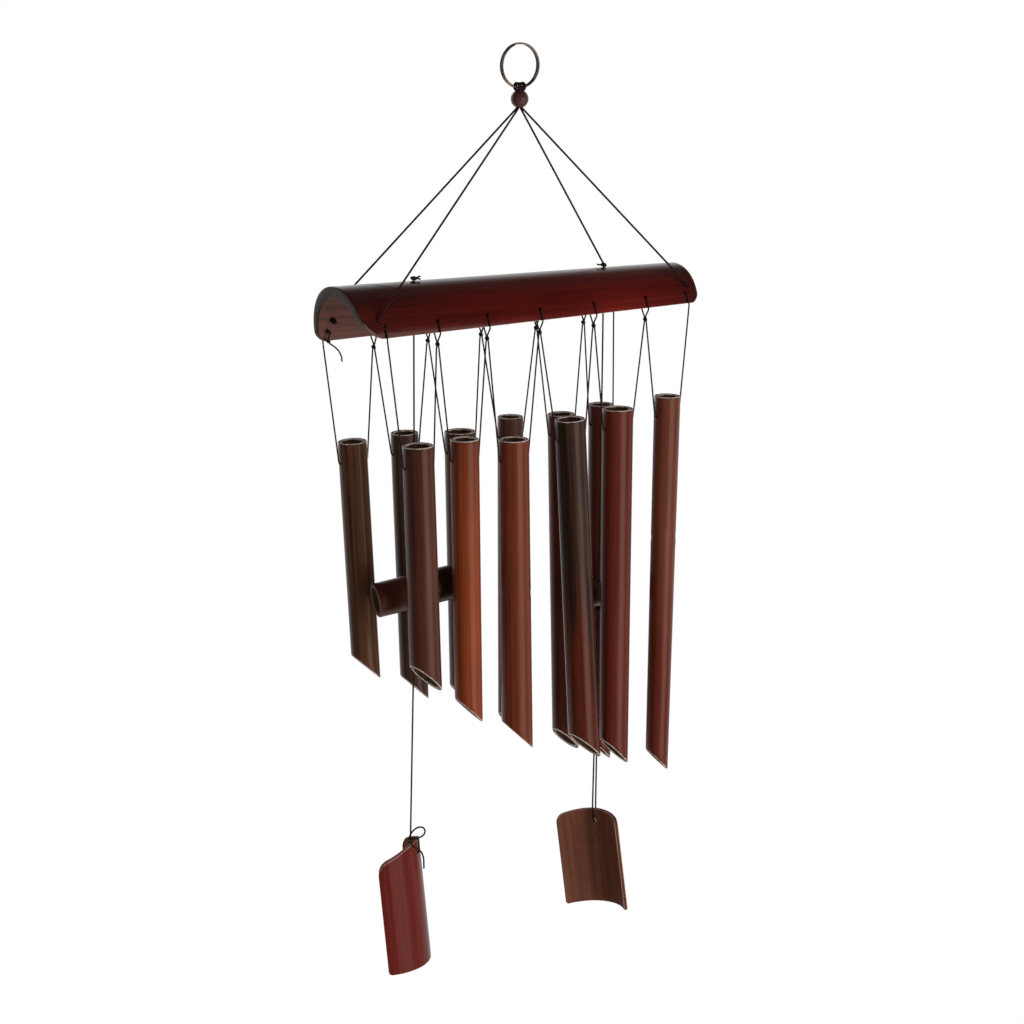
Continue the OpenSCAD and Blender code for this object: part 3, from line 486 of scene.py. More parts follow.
class Tree:
    """A material's node tree, written as calls."""

    def __init__(self, name):
        self.material = bpy.data.materials.new(name)
        self.material.use_nodes = True
        self.nodes, self.links = self.material.node_tree.nodes, self.material.node_tree.links
        self.shader = self.nodes["Principled BSDF"]

    def put(self, socket, value):
        if isinstance(value, bpy.types.NodeSocket):
            self.links.new(value, socket)
        else:
            socket.default_value = value

    def node(self, kind, settings=None, **inputs):
        n = self.nodes.new(kind)
        for key, value in (settings or {}).items():
            setattr(n, key, value)
        for key, value in inputs.items():
            self.put(n.inputs[int(key[1:]) if key[0] == "i" and key[1:].isdigit() else key], value)
        return n

    def coords(self):
        return self.node("ShaderNodeTexCoord").outputs["Object"]

    def scaled(self, vector, scale, offset=(0, 0, 0)):
        return self.node("ShaderNodeMapping", Vector=vector, Scale=scale, Location=offset).outputs[0]

    def noise(self, vector, scale=1.0, detail=3.0, rough=0.55):
        return self.node("ShaderNodeTexNoise", Vector=vector, Scale=scale, Detail=detail, Roughness=rough).outputs[0]

    def span(self, value, low, high, to_low=0.0, to_high=1.0):
        return self.node("ShaderNodeMapRange", i0=value, i1=low, i2=high, i3=to_low, i4=to_high).outputs[0]

    def math(self, op, a, b=0.0):
        return self.node("ShaderNodeMath", {"operation": op}, i0=a, i1=b).outputs[0]

    def total(self, *parts):
        """The sum of values, each (value, weight)."""
        out = self.math("MULTIPLY", *parts[0])
        for part in parts[1:]:
            out = self.math("ADD", out, self.math("MULTIPLY", *part))
        return out

    def mix(self, share, a, b, mode="MIX"):
        n = self.nodes.new("ShaderNodeMix")
        n.data_type, n.blend_type = "RGBA", mode
        self.put(n.inputs[0], share)
        self.put(n.inputs[6], a)
        self.put(n.inputs[7], b)
        return n.outputs[2]

    def ramp(self, value, stops):
        n = self.node("ShaderNodeValToRGB", Fac=value)
        e = n.color_ramp.elements
        while len(e) > 1:
            e.remove(e[-1])
        e[0].position, e[0].color = stops[0]
        for place, colour in stops[1:]:
            e.new(place).color = colour
        return n.outputs[0]

    def attribute(self, name):
        return self.node("ShaderNodeAttribute", {"attribute_name": name}).outputs["Fac"]

    def bump(self, height, distance, strength=1.0):
        n = self.node("ShaderNodeBump", Height=height, Distance=distance, Strength=strength)
        self.links.new(n.outputs[0], self.shader.inputs["Normal"])

    def set(self, **inputs):
        for key, value in inputs.items():
            self.put(self.shader.inputs[key.replace("_", " ")], value)


# the tint of bamboo's lacquer and its soot, the painted shade in drilled holes, how much cloudy patches shade it, and
# how ragged its worn edges are
WARM, SOOT, HOLE_SHADE = (1.0, 0.76, 0.64, 1.0), (20, 13, 11), (26, 17, 14)
BLOTCH, WORN = 0.24, 0.22


def bamboo(name, stops, low, high, axis=2, seed=0.0, gloss=0.27, specular=0.17, inner=(70, 49, 40), rim=(96, 76, 66),
           edge=(232, 214, 204), streaks=0.3, black=0.0, painted_highlight_before=None):
    """Lacquered bamboo: stain along its length, long fibres, soot, pale edges that are partly worn and partly a painted
    highlight, dark cut rims and a raw inside.
    """
    t = Tree(name)
    at = t.coords()
    long, slow = [420.0] * 3, [60.0] * 3
    long[axis], slow[axis] = 5.0, 11.0
    fibre = t.noise(t.scaled(at, long, (seed, seed * 1.7, seed * 0.6)), 1.0, 3.0, 0.6)
    fine = t.noise(t.scaled(at, [3.2 * v for v in long], (seed * 2, seed, seed)), 1.0, 2.0, 0.5)
    cloud = t.noise(t.scaled(at, slow, (seed * 3, seed, seed * 2)), 1.0, 4.0, 0.6)
    xyz = t.node("ShaderNodeSeparateXYZ", Vector=at).outputs
    wander = t.math("ADD", t.span(xyz[axis], low * MM, high * MM), t.span(cloud, 0.3, 0.7, -0.08, 0.08))
    colour = t.ramp(wander, [(p, linear(c)) for p, c in stops])
    dark = t.span(fibre, 0.3, 0.7, 1 - streaks, 1 + streaks)
    patch = t.span(cloud, 0.3, 0.7, 1 - BLOTCH, 1 + BLOTCH)
    speck = t.span(fine, 0.3, 0.7, 0.86, 1.14)
    shade = t.math("MULTIPLY", t.math("MULTIPLY", dark, patch), speck)
    grey = t.node("ShaderNodeCombineColor", i0=shade, i1=shade, i2=shade).outputs[0]
    colour = t.mix(1.0, colour, grey, "MULTIPLY")
    if black:
        soot = t.math("MULTIPLY", t.span(fibre, 0.45, 0.56), t.span(cloud, 0.38, 0.54, 0.0, black))
        colour = t.mix(soot, colour, linear(SOOT))
    # raw inside with its long grain
    dust = t.noise(t.scaled(at, (240, 240, 240), (seed, 0, 0)), 1.0, 5.0, 0.65)
    raw_grain = t.total((fibre, 0.75), (dust, 0.25))
    inside = t.ramp(raw_grain, shades(inner, (0.34, 0.8), (0.5, 1.0), (0.68, 1.2)))
    colour = t.mix(t.attribute("inside"), colour, inside)
    # cut ends: dark end grain between two pale edges, partly worn raw bamboo and partly a painted highlight
    cells = t.node("ShaderNodeTexVoronoi", {"feature": "F1"}, Vector=at, Scale=2300.0).outputs["Distance"]
    grain = t.ramp(t.total((cells, 0.7), (dust, 0.5)), shades(rim, (0.2, 0.55), (0.45, 0.85), (0.8, 1.15)))
    face = t.span(t.attribute("rim"), 0.84, 1.0)
    ragged = t.math("ADD", t.attribute("rim"), t.span(dust, 0.35, 0.65, -WORN, WORN))
    lip = t.math("MULTIPLY", t.span(ragged, 0.15, 0.4), t.span(t.attribute("rim"), 0.04, 0.2))
    # the pale edge colour is partly worn raw bamboo and partly a painted highlight
    pale = linear(edge)
    if painted_highlight_before is not None:
        # only the front split edge is pale: a painted highlight line along the front eave, and behind it the edge takes
        # the rim colour
        behind = t.span(xyz[1], (painted_highlight_before - 1.5) * MM, painted_highlight_before * MM)
        pale = t.mix(behind, linear(edge), linear(rim))
    colour = t.mix(lip, colour, pale)
    colour = t.mix(face, colour, grain)
    # painted shade: the walls of drilled holes are painted near black
    colour = t.mix(t.attribute("bore"), colour, linear(HOLE_SHADE))
    raw = t.math("MAXIMUM", lip, t.attribute("inside"))
    polish = t.math("ADD", t.span(fibre, 0.3, 0.7, gloss - 0.03, gloss + 0.05), t.span(cloud, 0.35, 0.7, -0.02, 0.05))
    roughness = t.math("ADD", polish, t.math("MULTIPLY", raw, 0.45))
    t.set(Base_Color=colour, Roughness=roughness, Specular_IOR_Level=specular, Specular_Tint=WARM)
    t.bump(t.total((fibre, 0.7), (fine, 0.3), (cells, t.math("MULTIPLY", face, 0.8))), 0.00016, 0.3)
    return t.material


def cord_material(name, colour, scale):
    """Waxed, laid cord: dark, with fine fibres."""
    t = Tree(name)
    at = t.coords()
    fibre = t.noise(t.scaled(at, (scale, scale, scale * 0.45)), 1.0, 3.0, 0.6)
    slow = t.noise(t.scaled(at, (90, 90, 60)), 1.0, 2.0, 0.5)
    base = t.ramp(t.total((fibre, 0.6), (slow, 0.4)), shades(colour, (0.3, 0.6), (0.5, 1.0), (0.72, 1.7)))
    t.set(Base_Color=base, Roughness=t.span(fibre, 0.3, 0.7, 0.55, 0.85), Specular_IOR_Level=0.1)
    t.bump(fibre, 0.00012, 0.7)
    return t.material


def steel_material(name):
    """Drawn steel wire, darkened by tarnish."""
    t = Tree(name)
    at = t.coords()
    drawn = t.noise(t.scaled(at, (900, 900, 900)), 1.0, 4.0, 0.6)
    stain = t.noise(t.scaled(at, (90, 90, 90)), 1.0, 3.0, 0.5)
    base = t.ramp(stain, [(0.3, linear((66, 52, 44))), (0.5, linear((92, 78, 69))), (0.72, linear((124, 110, 100)))])
    t.set(Base_Color=base, Metallic=1.0, Roughness=t.span(drawn, 0.3, 0.7, 0.2, 0.36))
    t.bump(drawn, 0.00001, 0.4)
    return t.material


def bead_material(name):
    """Turned wood with fine rings and pores under satin lacquer."""
    t = Tree(name)
    at = t.coords()
    bend = t.noise(t.scaled(at, (260, 260, 60)), 1.0, 3.0, 0.6)
    rings = t.node("ShaderNodeTexWave", {"wave_type": "BANDS", "bands_direction": "X"}, Vector=at, Scale=420.0,
                   Distortion=7.0, Detail=3.0).outputs["Fac"]
    pores = t.noise(t.scaled(at, (2600, 2600, 500)), 1.0, 2.0, 0.5)
    mixed = t.total((rings, 0.45), (bend, 0.35), (pores, 0.25))
    base = t.ramp(mixed, [(0.25, linear((58, 31, 27))), (0.5, linear((72, 39, 34))), (0.8, linear((88, 50, 43)))])
    t.set(Base_Color=base, Roughness=t.span(pores, 0.3, 0.7, 0.3, 0.42), Specular_IOR_Level=0.2)
    t.bump(pores, 0.00004, 0.4)
    return t.material


CORD = cord_material("cord", (36, 21, 20), 2400)


# ---------------------------------------------------------------- cords
def corded(shape, node):
    return settle(shape.make(f"{node}_piece", sharp=CORD_SHARP), node, CORD)


def declare(obj, path):
    """Turns a cord's path into metres and does nothing more with it."""
    path = np.asarray(path) * MM


for s, (front, back, x) in enumerate(((0, 1, -saddle_x), (3, 2, saddle_x))):
    shape = Shape()
    route = hanger_route(front, back, x)
    line = twisted(shape, route, HANGER_CORD)
    for end, inner in ((route[0], route[1]), (route[-1], route[-2])):
        overhand(shape, end, inner - end, HANGER_KNOT_R, 0.62)
    # its second turn round the ring's two wires
    wrap = [vec(x * HITCH_OUT, -saddle_r * cos(a), ring_foot + HITCH_UP + HITCH_R * sin(a)) for a in range(0, 360, 12)]
    round_wire(shape, wrap, HANGER_CORD * 0.48, 10, closed=True)
    declare(corded(shape, f"hanger_cord_{ENDS[s]}"), line)

for side in (-1, 1):
    for i in range(6):
        shape = Shape()
        line = twisted(shape, cord_route(side, i), TUBE_CORD)
        declare(corded(shape, f"{SIDES[side]}_cord_{i + 1}"), line)
    shape = Shape()
    for j in range(7):
        knot, route = (end_route if is_end(j) else loop_route)(side, j)
        twisted(shape, route, TUBE_CORD, sides=10)
        overhand(shape, knot, route[2] - knot, KNOT_R, 0.5)
    if side == 1:
        # the loose tail at the back row's left end, with a second knot
        knot, _ = end_route(1, 0)
        curl = [knot + vec(*p) for p in TAIL_CURL]
        run = twisted(shape, eased(curl, 1.6, 6), TUBE_CORD)
        overhand(shape, (curl[2] + curl[3]) / 2, curl[3] - curl[2], 1.35, 0.48)
        frayed(shape, run, TUBE_CORD, seed=3, count=5, reach=1.2)
    corded(shape, f"{SIDES[side]}_eave_loops")

for s in (0, 1):
    x, top = striker_x(s), ridge_top(s)
    pivot = roof_z + bore_r(x, 0)
    # the knot on the ridge with its cut tails
    shape = Shape()
    r = STOP_KNOT_R * 0.8
    k = vec(x, 0, top + GAP + r * 0.75)
    twisted(shape, [vec(x, 0, pivot), k], STRIKER_CORD)
    overhand(shape, k, vec(0, 0, 1), r, 0.6, stretch=RIDGE_STRETCH)
    for tail in RIDGE_TAILS[s]:
        bend = k + vec(tail[0] * 0.45, tail[1] * 0.2, tail[2] * 0.2)
        run = twisted(shape, eased([k, bend, k + vec(*tail)], 2, 6), STRIKER_CORD)
        frayed(shape, run, STRIKER_CORD, seed=11 + s, count=5, reach=0.7)
    corded(shape, f"ridge_knot_{ENDS[s]}")
    # the cord down to the striker, and the stop knot under it
    shape = Shape()
    line = twisted(shape, [vec(x, 0, pivot - GAP - 0.1), vec(x, 0, striker_foot(s))], STRIKER_CORD)
    declare(corded(shape, f"striker_cord_{ENDS[s]}"), line)
    shape = Shape()
    k = vec(x, 0, stop_knot_z(s))
    overhand(shape, k, vec(0, 0, 1), STOP_KNOT_R, 0.78, 72, 12)
    twisted(shape, [k - vec(0, 0, STOP_KNOT_R), k + vec(0, 0, STOP_KNOT_R)], STRIKER_CORD)
    corded(shape, f"stop_knot_{ENDS[s]}")
    # the cord down to the sail: tied in a bow at the left, doubled at the right
    start = vec(x, 0, stop_knot_z(s) - STOP_KNOT_R - GAP)
    shape = Shape()
    if s == 0:
        over = SAIL_HOLE_DEPTH[0] + GAP + STRIKER_CORD / 2
        route = [start, bow_knot] + eased([
            bow_knot, in_sail(0, (-sail_off - 0.6, 0, BOW_KNOT_UP - BOW_KNOT_R - 0.2)), in_sail(0, (-sail_off, 0, 0)),
            in_sail(0, (sail_off, 0, 0)), in_sail(0, (sail_off, 1.1, over)), in_sail(0, (-sail_off, 1.1, over)),
            in_sail(0, (-sail_off - 0.6, 1.1, BOW_KNOT_UP + BOW_KNOT_R))], 1.4, 6)
    else:
        spread = rot_z(SAIL_TURN[1]) @ vec(STRIKER_CORD / 2 + 0.3, 0, 0)
        up = SAIL_HOLE_DEPTH[1] + 0.8
        route = eased([start - spread, in_sail(1, (-sail_off, 0, up)), in_sail(1, (-sail_off, 0, 0)),
                       in_sail(1, (sail_off, 0, 0)), in_sail(1, (sail_off, 0, up)), start + spread], 1.4, 6)
    line = twisted(shape, route, STRIKER_CORD)
    if s == 0:
        overhand(shape, bow_knot, start - bow_knot, BOW_KNOT_R, 0.56)
    declare(corded(shape, f"sail_cord_{ENDS[s]}"), line)

shape = Shape()
for run in (BOW_LOOP, BOW_TAIL):
    line = twisted(shape, eased([bow_knot + rot_z(BOW_TURN) @ vec(*p) for p in run], 2.4, 6), STRIKER_CORD)
frayed(shape, line, STRIKER_CORD, seed=21, count=7, reach=1.0)
corded(shape, "sail_bow_left")

# ---------------------------------------------------------------- ring and bead
RING_PARTS = 300
shape = Shape()
route = []
for i in range(RING_PARTS + 1):
    a = (720 - RING_STEP) * i / RING_PARTS
    t = min(1, max(0, (a - (360 - RING_STEP)) / RING_STEP))
    lift = ring_pitch * (t * t * (3 - 2 * t) - 0.5)
    route.append(vec(ring_r * cos(a + RING_TURN), lift, ring_z + ring_r * sin(a + RING_TURN)))
round_wire(shape, route, RING_WIRE * RING_SHOWN, 16)
settle(shape.make("hang_ring_piece", sharp=TURNED_SHARP), "hang_ring", steel_material("ring_steel"))

# the bead's profile: its ball with faint turning marks, then its bore with eased mouths
BEAD_PARTS, BEAD_SIDES, BEAD_ARC = 32, 56, 116
shape = Shape()
profile = []
for i in range(BEAD_PARTS + 1):
    a = -BEAD_ARC / 2 + BEAD_ARC * i / BEAD_PARTS
    profile.append((BEAD_D / 2 * cos(a) - 0.04 * (1 - math.cos(i * 1.9)), BEAD_D / 2 * sin(a)))
mouth = profile[-1][1]
hole = BEAD_HOLE / 2
profile += [(hole + 0.12, mouth + 0.06), (hole, mouth - 0.25)]
profile += [(hole, mouth - 0.25 - k * (2 * mouth - 0.5) / 6) for k in range(1, 7)]
profile += [(hole + 0.12, -mouth - 0.06)]
spokes = [(math.cos(TAU * k / BEAD_SIDES), math.sin(TAU * k / BEAD_SIDES)) for k in range(BEAD_SIDES)]
pts = [(r * c, r * q, z) for r, z in profile + profile[:1] for c, q in spokes]
shape.add(pts, grid_faces(len(profile) + 1, BEAD_SIDES, True))
obj = shape.make("bead_piece", place_at((0, 0, bead_z)), TURNED_SHARP)
settle(obj, "bead", bead_material("bead_wood"))


# ---------------------------------------------------------------- bamboo
def slab(name, outer, inner, rows, cols, bevel, place, wall):
    """A curved wall from two surface functions of (u, v) in 0..1, with softened edges all round."""
    shape = Shape()
    u, v = np.linspace(0, 1, cols), np.linspace(0, 1, rows)
    grids = [np.array([[surface(a, b) for a in u] for b in v]) for surface in (outer, inner)]
    edge = [(0, k) for k in range(cols)] + [(i, cols - 1) for i in range(1, rows)]
    edge += [(rows - 1, k) for k in range(cols - 2, -1, -1)] + [(i, 0) for i in range(rows - 2, 0, -1)]
    rim_o = np.array([grids[0][e] for e in edge])
    rim_i = np.array([grids[1][e] for e in edge])
    # both faces stop a bevel short of the edge
    pulled = []
    for g in grids:
        p = g.copy()
        for i, k in edge:
            d = g[min(max(i, 1), rows - 2), min(max(k, 1), cols - 2)] - g[i, k]
            p[i, k] = g[i, k] + d * min(0.6, bevel / max(np.linalg.norm(d), 1e-6))
        pulled.append(p)
    a = shape.add(pulled[0], grid_faces(rows, cols, False, True))
    b = shape.add(pulled[1], grid_faces(rows, cols, False), inside=1.0)
    share = bevel / wall
    lips = [rim_o + (rim_i - rim_o) * q for q in (share * 0.3, share, 0.5, 1 - share, 1 - share * 0.3)]
    lips[0] = lips[0] * 0.7 + np.array([pulled[0][e] for e in edge]) * 0.3
    lips[4] = lips[4] * 0.7 + np.array([pulled[1][e] for e in edge]) * 0.3
    paint = ((0.45, 0), (1, 0), (1, 0), (1, 0), (0.6, 0.5))
    starts = [shape.add(lip, [], rim=r, inside=w) for lip, (r, w) in zip(lips, paint)]
    n = len(edge)
    ring_a = [a + i * cols + k for i, k in edge]
    ring_b = [b + i * cols + k for i, k in edge]
    rings = [ring_a] + [[s0 + q for q in range(n)] for s0 in starts] + [ring_b]
    for low, high in zip(rings, rings[1:]):
        shape.f += [(low[q], low[(q + 1) % n], high[(q + 1) % n], high[q]) for q in range(n)]
    return shape.make(name, place)


def wobble(a, z, seed):
    """A small natural unevenness of a culm, never proud of its size: 0 to 1."""
    return (0.5 + 0.25 * math.cos(2 * a + seed) + 0.15 * math.sin(3 * a - seed * 1.7 + z * 0.012)
            + 0.1 * math.sin(z * 0.045 + seed * 2.3 + a))


def culm_tube(name, d_low, d_top, foot, top, wall, slant, turn, place, seed, nodes=()):
    """A bamboo tube on its own Z axis, its foot cut on a slant towards turn, with rings at the nodes' heights."""
    cols, bevel, uneven = 64, 0.6, 0.08
    shape = Shape()
    reach = d_low / 2
    span = max(top - foot, 1e-6)
    step = tan(slant)

    def radius(z, ring):
        share = min(max((z - foot) / span, 0), 1)
        r = d_low / 2 + (d_top - d_low) / 2 * share
        for zn in nodes:
            q = z - zn
            r += 0.16 * math.exp(-(q / 1.3) ** 2) - 0.3 * math.exp(-((q - 2.4) / 0.8) ** 2)
        return r - ring

    def at(k, r, z):
        a = TAU * k / cols
        r = r - uneven * wobble(a, z, seed)
        return (r * math.cos(a), r * math.sin(a), z)

    def low_z(k, r):
        a = TAU * k / cols - math.radians(turn)
        return foot + (reach - r * math.cos(a)) * step

    # rings of points with their rim and inside paint: up the outside, over the top, down the bore and under the foot
    rows = []

    def wall_rows(count, inset, start, end, inside):
        for i in range(count + 1):
            ring = []
            for k in range(cols):
                z0, z1 = start(k), end(k)
                z = z0 + (z1 - z0) * (i / count)
                ring.append(at(k, radius(z, inset), z))
            rows.append((ring, 0.0, inside))

    def top_lip(inset, down, rim, inside=0):
        rows.append(([at(k, radius(top, inset), top - down) for k in range(cols)], rim, inside))

    def foot_lip(inset, up, rim, inside=0):
        rows.append(([at(k, radius(foot, inset), low_z(k, reach - inset) + up) for k in range(cols)], rim, inside))

    wall_rows(max(10, int((top - foot) / 3.2)), 0, lambda k: low_z(k, reach) + bevel * 1.4, lambda k: top - bevel, 0.0)
    top_lip(bevel * 0.3, bevel * 0.3, 0.45)
    for inset in (bevel, wall / 2, wall - bevel):
        top_lip(inset, 0, 1)
    top_lip(wall - bevel * 0.3, bevel * 0.3, 0.6, 0.5)
    wall_rows(max(6, int((top - foot) / 12)), wall, lambda k: top - bevel * 2,
              lambda k: low_z(k, reach - wall) + bevel * 1.2, 1.0)
    foot_lip(wall - bevel * 0.4, bevel * 0.4, 0.6, 0.5)
    for inset in (wall - bevel, wall / 2, bevel):
        foot_lip(inset, 0, 1)
    foot_lip(bevel * 0.3, bevel * 0.5, 0.45)
    for ring, rim, inside in rows:
        shape.add(ring, [], rim, inside)
    count = len(rows)
    for i in range(count):
        for k in range(cols):
            a, b = i * cols + k, i * cols + (k + 1) % cols
            c, e = (i + 1) % count * cols + (k + 1) % cols, (i + 1) % count * cols + k
            shape.f.append((a, b, c, e))
    return shape.make(name, place)


STAIN = dict(
    walnut=(74, 39, 29), amber=(126, 56, 27), chestnut=(104, 47, 28), umber=(58, 38, 26), russet=(88, 34, 21),
    olive=(98, 62, 42), mahogany=(92, 36, 25), cedar=(102, 52, 36), smoke=(70, 49, 40), tan=(88, 56, 43),
    burgundy=(95, 32, 27), plum=(84, 38, 29), oxblood=(80, 20, 16))
# each tube's stain at its foot and its top, where they meet, how strong its black streaks are, and the height of its node
TUBE_LOOK = {
    (-1, 0): ("walnut", "walnut", 0.5, 0.2, ()),
    (-1, 1): ("amber", "chestnut", 0.85, 0.15, ()),
    (-1, 2): ("chestnut", "chestnut", 0.5, 0.1, (-85,)),
    (-1, 3): ("russet", "umber", 0.45, 0.85, ()),
    (-1, 4): ("mahogany", "mahogany", 0.5, 0.25, ()),
    (-1, 5): ("mahogany", "cedar", 0.5, 0.25, (-80,)),
    (1, 0): ("olive", "olive", 0.5, 0.8, ()),
    (1, 1): ("smoke", "smoke", 0.5, 0.2, ()),
    (1, 2): ("smoke", "smoke", 0.5, 0.2, ()),
    (1, 3): ("tan", "tan", 0.5, 0.2, ()),
    (1, 4): ("plum", "plum", 0.5, 0.3, ()),
    (1, 5): ("mahogany", "plum", 0.5, 0.3, ()),
}
for (side, i), (low_stain, top_stain, meet, soot, rings) in TUBE_LOOK.items():
    node = f"{SIDES[side]}_tube_{i + 1}"
    length = LEN[side][i]
    seed = 1.3 + i * 2.1 + side * 0.7
    place = place_at(tube_mid(side, i), rot_y(-LEAN[side][i]))
    foot = HOLE_DEPTH - length
    obj = culm_tube(f"{node}_piece", DIA[side][i] + TAPER[side][i], DIA[side][i], foot, HOLE_DEPTH, TUBE_WALL, FOOT_SLANT,
                    FOOT_TURN[side][i], place, seed, rings)
    drill(obj, [((0, 0, 0), (1, 0, 0), TUBE_CORD + 2 * GAP + 0.1, DIA[side][i] / 2 + 5)])
    stops = [(meet - 0.15, STAIN[low_stain]), (meet + 0.15, STAIN[top_stain])]
    settle(obj, node, bamboo(node, stops, foot, HOLE_DEPTH, 2, seed, black=soot))

for s in (0, 1):
    node = f"striker_{ENDS[s]}"
    half, seed = STRIKER_LEN[s] / 2, 4.2 + s * 3.1
    turn = rot_z(STRIKER_TURN[s]) @ rot_y(90 - STRIKER_LEAN[s])
    place = place_at((striker_x(s), 0, striker_z(s)), turn)
    obj = culm_tube(f"{node}_piece", STRIKER_D[s], STRIKER_D[s], -half, half, STRIKER_WALL, 0, 0, place, seed)
    drill(obj, [((0, 0, 0), turn.T @ vec(0, 0, 1), STRIKER_CORD + 2 * GAP + 0.1, STRIKER_D[s])])
    stops = [(0.0, STAIN["plum"]), (1.0, STAIN["umber"])]
    settle(obj, node, bamboo(node, stops, -half, half, 2, seed, rim=(62, 44, 38), edge=(124, 94, 84), black=0.3))


def roof_surface(inset):
    """The roof's outer or inner face: u runs along the length, v from the front eave to the back eave."""
    drop = BORE_DROP if inset else 0.0

    def end_x(out, side, high, over):
        x = -ROOF_LEFT if out < 0 else roof_right
        x -= out * (culm_r(x) - high) * tan(END_LEAN)
        r = CORNER_R[out, side]
        below = max(0.0, r - PAST_EAVE[side] - over)
        return x - out * max(0.0, r - math.sqrt(max(0.0, r * r - below * below)) - PAST_END)

    def surface(u, v):
        v = v - 0.06 * math.sin(TAU * v)
        x = -ROOF_LEFT + ROOF_LEN * u
        side = -1 if v < 0.5 else 1
        for _ in range(4):
            r = culm_r(x) - inset
            front, back = eave_angle(x, -1, r, drop), eave_angle(x, 1, r, drop)
            a = front + (back - front) * v
            high = r * cos(a) - drop
            low = culm_r(x) * cos(eave_angle(x, side, culm_r(x)))
            left, right = end_x(-1, side, high, high - low), end_x(1, side, high, high - low)
            x = left + (right - left) * u
        r -= 0.12 * wobble(math.radians(a), x, 0.8) if inset == 0 else 0.4 * wobble(math.radians(a) * 3, x, 2.1)
        return (x, r * sin(a), r * cos(a) - drop)
    return surface


roof = slab("roof_piece", roof_surface(0), roof_surface(ROOF_WALL), rows=97, cols=131, bevel=0.7,
            place=place_at((0, 0, roof_z)), wall=ROOF_WALL)


def culm_hole(x, a, d):
    r = culm_r(x) - 2
    return (x, r * sin(a), r * cos(a)), (0, sin(a), cos(a)), d, 8


eaves = [(side, hole_x(side, j)) for side in (-1, 1) for j in range(7)]
holes = [culm_hole(x, hole_angle(x, side), EAVE_HOLE_D) for side, x in eaves]
holes += [culm_hole(hanger_end(h)[0][0], HANGER_ANGLE[h], HANGER_HOLE_D) for h in range(4)]
holes += [culm_hole(striker_x(s), 0, HANGER_HOLE_D) for s in (0, 1)]
drill(roof, holes)
ROOF_STOPS = [(0.0, (62, 22, 18)), (0.4, STAIN["oxblood"]), (0.85, (90, 24, 19)), (0.95, (74, 24, 19)),
              (1.0, (50, 24, 20))]
# the roof's pale front eave edge is a painted highlight line
settle(roof, "roof", bamboo("roof", ROOF_STOPS, -ROOF_LEFT, roof_right, 0, 0.4, gloss=0.12, inner=(98, 64, 57),
                            rim=(50, 36, 32), edge=(178, 132, 122), streaks=0.2, painted_highlight_before=-28.5))


def corner(edge, r):
    """How far a rounded corner falls back at a distance from the side edge."""
    return r - math.sqrt(max(0.0, r * r - (r - edge) ** 2)) if edge < r else 0.0


def sail_surface(s, inset):
    """A sail's outer or inner face: u runs across the arc, v from the foot to the rounded top."""
    r = SAIL_R[s] - inset
    half = SAIL_ARC[s] / 2
    chord = SAIL_R[s] * sin(half)
    rise = (chord ** 2 + SAIL_ARCH[s] ** 2) / (2 * SAIL_ARCH[s])
    top, foot = SAIL_HOLE_DEPTH[s], SAIL_HOLE_DEPTH[s] - SAIL_LEN[s]
    soft, soft_low = SAIL_SOFT[s]

    def surface(u, v):
        u -= 0.1 * math.sin(TAU * u)
        edge = (1 - abs(2 * u - 1)) * half * math.radians(1) * SAIL_R[s]
        a = (2 * u - 1) * half
        y = r * sin(a)
        high = top - (rise - math.sqrt(max(0, rise ** 2 - y * y))) - corner(edge, soft)
        low = foot + corner(edge, soft_low)
        z = low + (high - low) * v
        if inset == 0:
            uneven = 0.2 * wobble(math.radians(a) * 2, z, 3.1 + s)
        else:
            uneven = 0.25 * wobble(math.radians(a) * 3, z, 1.1 + s)
        rr = r - uneven
        return (-(SAIL_R[s] - SAIL_WALL / 2) + rr * cos(a), rr * sin(a), z)
    return surface


SAIL_LOOK = (("burgundy", dict(inner=(124, 84, 62), rim=(150, 100, 90))),
             ("mahogany", dict(inner=(104, 62, 47), rim=(96, 58, 44))))
for s, (stain, cut) in enumerate(SAIL_LOOK):
    node = f"sail_{ENDS[s]}"
    obj = slab(f"{node}_piece", sail_surface(s, 0), sail_surface(s, SAIL_WALL), rows=61, cols=81, bevel=0.4,
               place=place_at(sail_hole(s), sail_turn(s)), wall=SAIL_WALL)
    drill(obj, [((0, 0, 0), (1, 0, 0), SAIL_HOLE_D, 5)])
    top = SAIL_HOLE_DEPTH[s]
    settle(obj, node, bamboo(node, [(0.0, STAIN[stain])], top - SAIL_LEN[s], top, 2, 6.6 + s, gloss=0.26, specular=0.08,
                             edge=(190, 150, 140), streaks=0.2, **cut))

# ---------------------------------------------------------------- floor, light and background
FLOOR_Z, FLOOR_R, FLOOR_SIDES, FLOOR_GLOW = -1500, 1650, 128, 0.72
shape = Shape()
spokes = [TAU * k / FLOOR_SIDES for k in range(FLOOR_SIDES)]
disc = [(0, 0, FLOOR_Z)] + [(FLOOR_R * math.cos(a), FLOOR_R * math.sin(a), FLOOR_Z) for a in spokes]
shape.add(disc, [(0, k + 1, (k + 1) % FLOOR_SIDES + 1) for k in range(FLOOR_SIDES)])
floor = shape.make("floor")
t = Tree("floor")
speck = t.noise(t.scaled(t.coords(), (3, 3, 3)), 1.0, 2.0, 0.5)
pale = t.ramp(speck, [(0.3, linear((236, 235, 233))), (0.7, linear((244, 243, 241)))])
t.set(Base_Color=pale, Roughness=0.8, Specular_IOR_Level=0.1)
# pale to the camera, to gloss and to glass; it still takes the object's shadow
sight = t.node("ShaderNodeLightPath").outputs
mirrored = t.math("MAXIMUM", sight["Is Glossy Ray"], sight["Is Transmission Ray"])
sighted = t.math("MAXIMUM", sight["Is Camera Ray"], mirrored)
t.set(Emission_Color=(1, 1, 1, 1), Emission_Strength=t.math("MULTIPLY", sighted, FLOOR_GLOW))
floor.data.materials.append(t.material)

